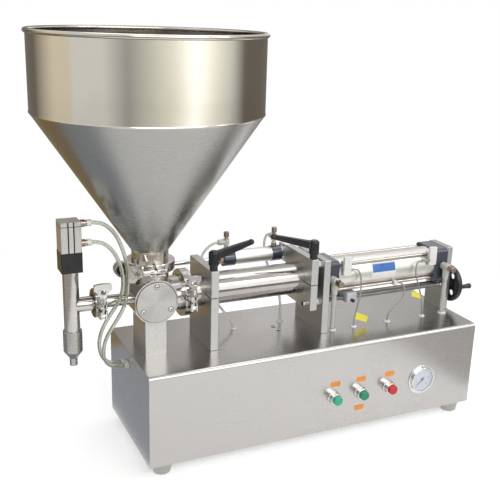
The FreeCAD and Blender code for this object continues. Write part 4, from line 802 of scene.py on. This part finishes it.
def finish_air_cylinder():
    dress("air_cylinder_caps", "navy", 0.8)
    dress("air_barrel", "anodised", 0.3)
    dress("cylinder_rods", "tie", 0.3)
    dress("end_plate", "plate", 0.5)
    screw = dress("lead_screw", "thread", 0.3)
    paint(screw, "plated", x=(440, 490))
    block = dress("travel_block", "lavender", 0.5, merge=False)
    paint(block, "black", y=(-46, -37.2))
    choose(block, "FACE", lambda mesh, face: face.center.z > 303.9 * MM)
    bpy.ops.transform.translate(value=(0, 0, -0.3 * MM))
    bpy.ops.object.mode_set(mode="OBJECT")
    dress("handwheel", "black", 0.6)
    dress("handwheel_grip", "black", 0.5)
    sensors = dress("sensors", "white", 0.5, merge=False)
    paint(sensors, "wire", x=(175.5, 179))
    paint(sensors, "wire", x=(367, 388), y=(-50, -36), z=(358, 370))


def finish_fittings():
    fittings = dress("air_fittings", "pale", 0.3, merge=False)
    paint(fittings, "brass", y=(-72.2, -62.8), z=(330, 360))
    paint(fittings, "brown", y=(-83, -72.2), z=(330, 360))
    for z in (512, 472):
        span = (z - 9, z + 9)
        paint(fittings, "brown", x=(-427, -415.3), z=span)
        paint(fittings, "brass", x=(-415.3, -412.3), z=span)
        paint(fittings, "white", x=(-412.3, -402), z=span)


def finish_nozzle():
    dress("nozzle_body", "polished", 0.4)
    dress("nozzle_tip", "foot", 0.4)
    dress("nozzle_adapter", "black", 0.7)
    block = dress("nozzle_cylinder", "block", 0.3)
    # Painted shade: the walls and floors of the block's front and back slots are painted black
    paint(block, "black", y=(-20.3, -18.8), x=(-455, -440))
    paint(block, "black", y=(18.8, 20.3), x=(-455, -440))
    slab("nozzle_block_seam", (-467.6, -20.6, 510.6), (-426.4, 20.6, 511.8), 2.5, "Z", "frame",
         "black", 0.1)
    dress("nozzle_plunger", "plated", 0.3)


def finish_panel():
    bezels = dress("button_bezels", "plated", 0.4)
    dress("button_left", "teal", 0.6)
    dress("button_middle", "green", 0.6)
    dress("button_right", "red", 0.6)
    gauge = dress("pressure_gauge", "plated", 0.4, merge=False)
    front = PANEL / MM
    paint(gauge, "dial", x=(294, 356), y=(front - 3.1, front - 2.9), z=(82, 138),
          normal=(0, -1, 0))
    dress("gauge_needle", "ink", 0.1)


# New pieces

def panel_labels():
    """Blank orange tape tags over the buttons, and one under the middle button."""
    front = PANEL / MM
    first = slab("button_label_left", (81.7, front - 0.4, 132.5), (105.7, front, 144.5), 2.0,
                 "Y", "frame", "orange", 0.12)
    for name, move in (("middle", (65.8, 0, 0.5)), ("right", (141.3, 0, 0.2)),
                       ("lower", (65.3, 0, -68.6))):
        copy_to(first, "button_label_" + name, move, "frame")


def wire_flag(name, corners, depth):
    """A tag that folds round its wire at one end, made here as one flat leaf between its four
    corners.
    """
    bpy.ops.object.select_all(action="DESELECT")
    bpy.ops.mesh.primitive_plane_add(size=1)
    leaf = bpy.context.object
    order = ((-0.5, -0.5), (0.5, -0.5), (0.5, 0.5), (-0.5, 0.5))
    for vertex in leaf.data.vertices:
        spot = order.index((round(vertex.co.x, 1), round(vertex.co.y, 1)))
        x, y, z = corners[spot]
        vertex.co = (x * MM, y * MM, z * MM)
    bpy.ops.object.mode_set(mode="EDIT")
    bpy.ops.mesh.select_all(action="SELECT")
    bpy.ops.mesh.subdivide(number_cuts=6)
    bpy.ops.object.mode_set(mode="OBJECT")
    use_modifier(leaf, "SOLIDIFY", thickness=depth * MM, offset=0)
    round_edges(leaf, 0.2, 60)
    set_down(leaf, name, "frame", "yellow")
    shade(leaf)
    return leaf


def gauge_face():
    """Scale, figures and pane of the pressure gauge."""
    front = PANEL / MM
    middle = (325.0, front - 3.0, 110.0)
    first_angle, mark_turn, figure_turn = 225, 10.8, 54
    long_start, short_start, marks_end, figures_at = 20.5, 22.5, 25.0, 16.6

    def on_dial(radius, angle, proud):
        return ((middle[0] + radius * math.cos(angle)) * MM, (middle[1] - proud) * MM,
                (middle[2] + radius * math.sin(angle)) * MM)

    marks = []
    for step in range(26):
        angle = math.radians(first_angle - mark_turn * step)
        long_mark = step % 5 == 0
        inner = long_start if long_mark else short_start
        bpy.ops.object.select_all(action="DESELECT")
        bpy.ops.mesh.primitive_cube_add(size=1)
        mark = bpy.context.object
        mark.scale = ((marks_end - inner) * MM, 0.12 * MM, (0.9 if long_mark else 0.45) * MM)
        bpy.ops.object.transform_apply(location=False, rotation=False, scale=True)
        bpy.ops.object.mode_set(mode="EDIT")
        bpy.ops.mesh.select_all(action="SELECT")
        bpy.ops.mesh.bevel(offset=0.04 * MM, segments=1)
        bpy.ops.object.mode_set(mode="OBJECT")
        mark.rotation_euler = (0, -angle, 0)
        mark.location = on_dial((marks_end + inner) / 2, angle, 0.05)
        marks.append(mark)
    for step in range(6):
        angle = math.radians(first_angle - figure_turn * step)
        bpy.ops.object.select_all(action="DESELECT")
        bpy.ops.object.text_add()
        figure = bpy.context.object
        figure.data.body = str(2 * step)
        figure.data.size = 5.0 * MM
        figure.data.extrude = 0.05 * MM
        figure.data.align_x = "CENTER"
        figure.data.align_y = "CENTER"
        bpy.ops.object.convert(target="MESH")
        figure = bpy.context.object
        figure.rotation_euler = (math.radians(90), 0, 0)
        figure.location = on_dial(figures_at, angle, 0.06)
        marks.append(figure)
    bpy.ops.object.select_all(action="DESELECT")
    for mark in marks:
        mark.select_set(True)
    bpy.context.view_layer.objects.active = marks[0]
    bpy.ops.object.join()
    set_down(marks[0], "gauge_scale", "frame", "ink")
    turned("gauge_pane", (middle[0], front - 6.4, middle[2]), (0, -1, 0),
           [(26.9, 0), (26.9, 0.6), (20.0, 0.95), (10.0, 1.15), (1.0, 1.2)],
           "frame", "glass", 64)


def barrel_label():
    """A plain white label with a blue band, wrapped on the front of the barrel."""
    start, end, radius = 236, 303, 38.15
    bottom, top = -24, 38
    margin = 3.0
    middle = ((start + end) / 2 * MM, 0, VALVE[2])
    bpy.ops.object.select_all(action="DESELECT")
    bpy.ops.mesh.primitive_cylinder_add(vertices=96, radius=radius * MM,
                                        depth=(end - start) * MM,
                                        end_fill_type="NOTHING", location=middle,
                                        rotation=(0, math.radians(90), 0))
    label = bpy.context.object
    bpy.ops.object.transform_apply(location=True, rotation=True, scale=True)

    def rise(face):
        return math.degrees(math.atan2(face.center.z - VALVE[2], -face.center.y))

    choose(label, "FACE", lambda mesh, face: not bottom <= rise(face) <= top)
    bpy.ops.mesh.delete(type="FACE")
    bpy.ops.mesh.select_all(action="SELECT")
    bpy.ops.mesh.inset(thickness=margin * MM)
    bpy.ops.object.mode_set(mode="OBJECT")
    set_down(label, "barrel_label", "frame", "white")
    label.data.materials.append(MATERIALS["blue"])
    for face in label.data.polygons:
        inner = abs(face.center.x - middle[0]) < 28 * MM
        face.material_index = 1 if inner and 4 < rise(face) < 32 else 0
    use_modifier(label, "SOLIDIFY", thickness=0.2 * MM, offset=1)
    shade(label)


add_camera()
flag_left = wire_flag("flag_left", ((188.9, -49.6, 244.7), (221.0, -52.6, 232.7),
                                    (223.9, -52.6, 247.2), (191.7, -49.0, 260.3)), 0.7)
flag_right = wire_flag("flag_right", ((343.5, -52.5, 280.9), (377.5, -48.4, 268.4),
                                      (371.9, -48.4, 284.3), (340.7, -52.5, 293.3)), 0.7)
add_cord("hose_upper", "hose", 4.0, HOSE_UPPER)
add_cord("hose_lower", "hose", 4.0, HOSE_LOWER)
add_cord("tube_valve_left", "tube", 3.0, TUBE_LEFT)
add_cord("tube_valve_right", "tube", 3.0, TUBE_RIGHT)
add_cord("sensor_wire_left", "wire", 1.75, WIRE_LEFT)
add_cord("sensor_wire_right", "wire", 1.75, WIRE_RIGHT)
add_cord("sensor_wire_lower", "wire", 1.75, WIRE_LOWER)
dress("tube_main_left", "tube", 0.0)
dress("tube_main_right", "tube", 0.0)
add_studio()

finish_base()
finish_valve()
finish_valve_drive()
finish_hopper()
finish_filling()
finish_air_cylinder()
finish_fittings()
finish_nozzle()
finish_panel()
panel_labels()
gauge_face()
barrel_label()
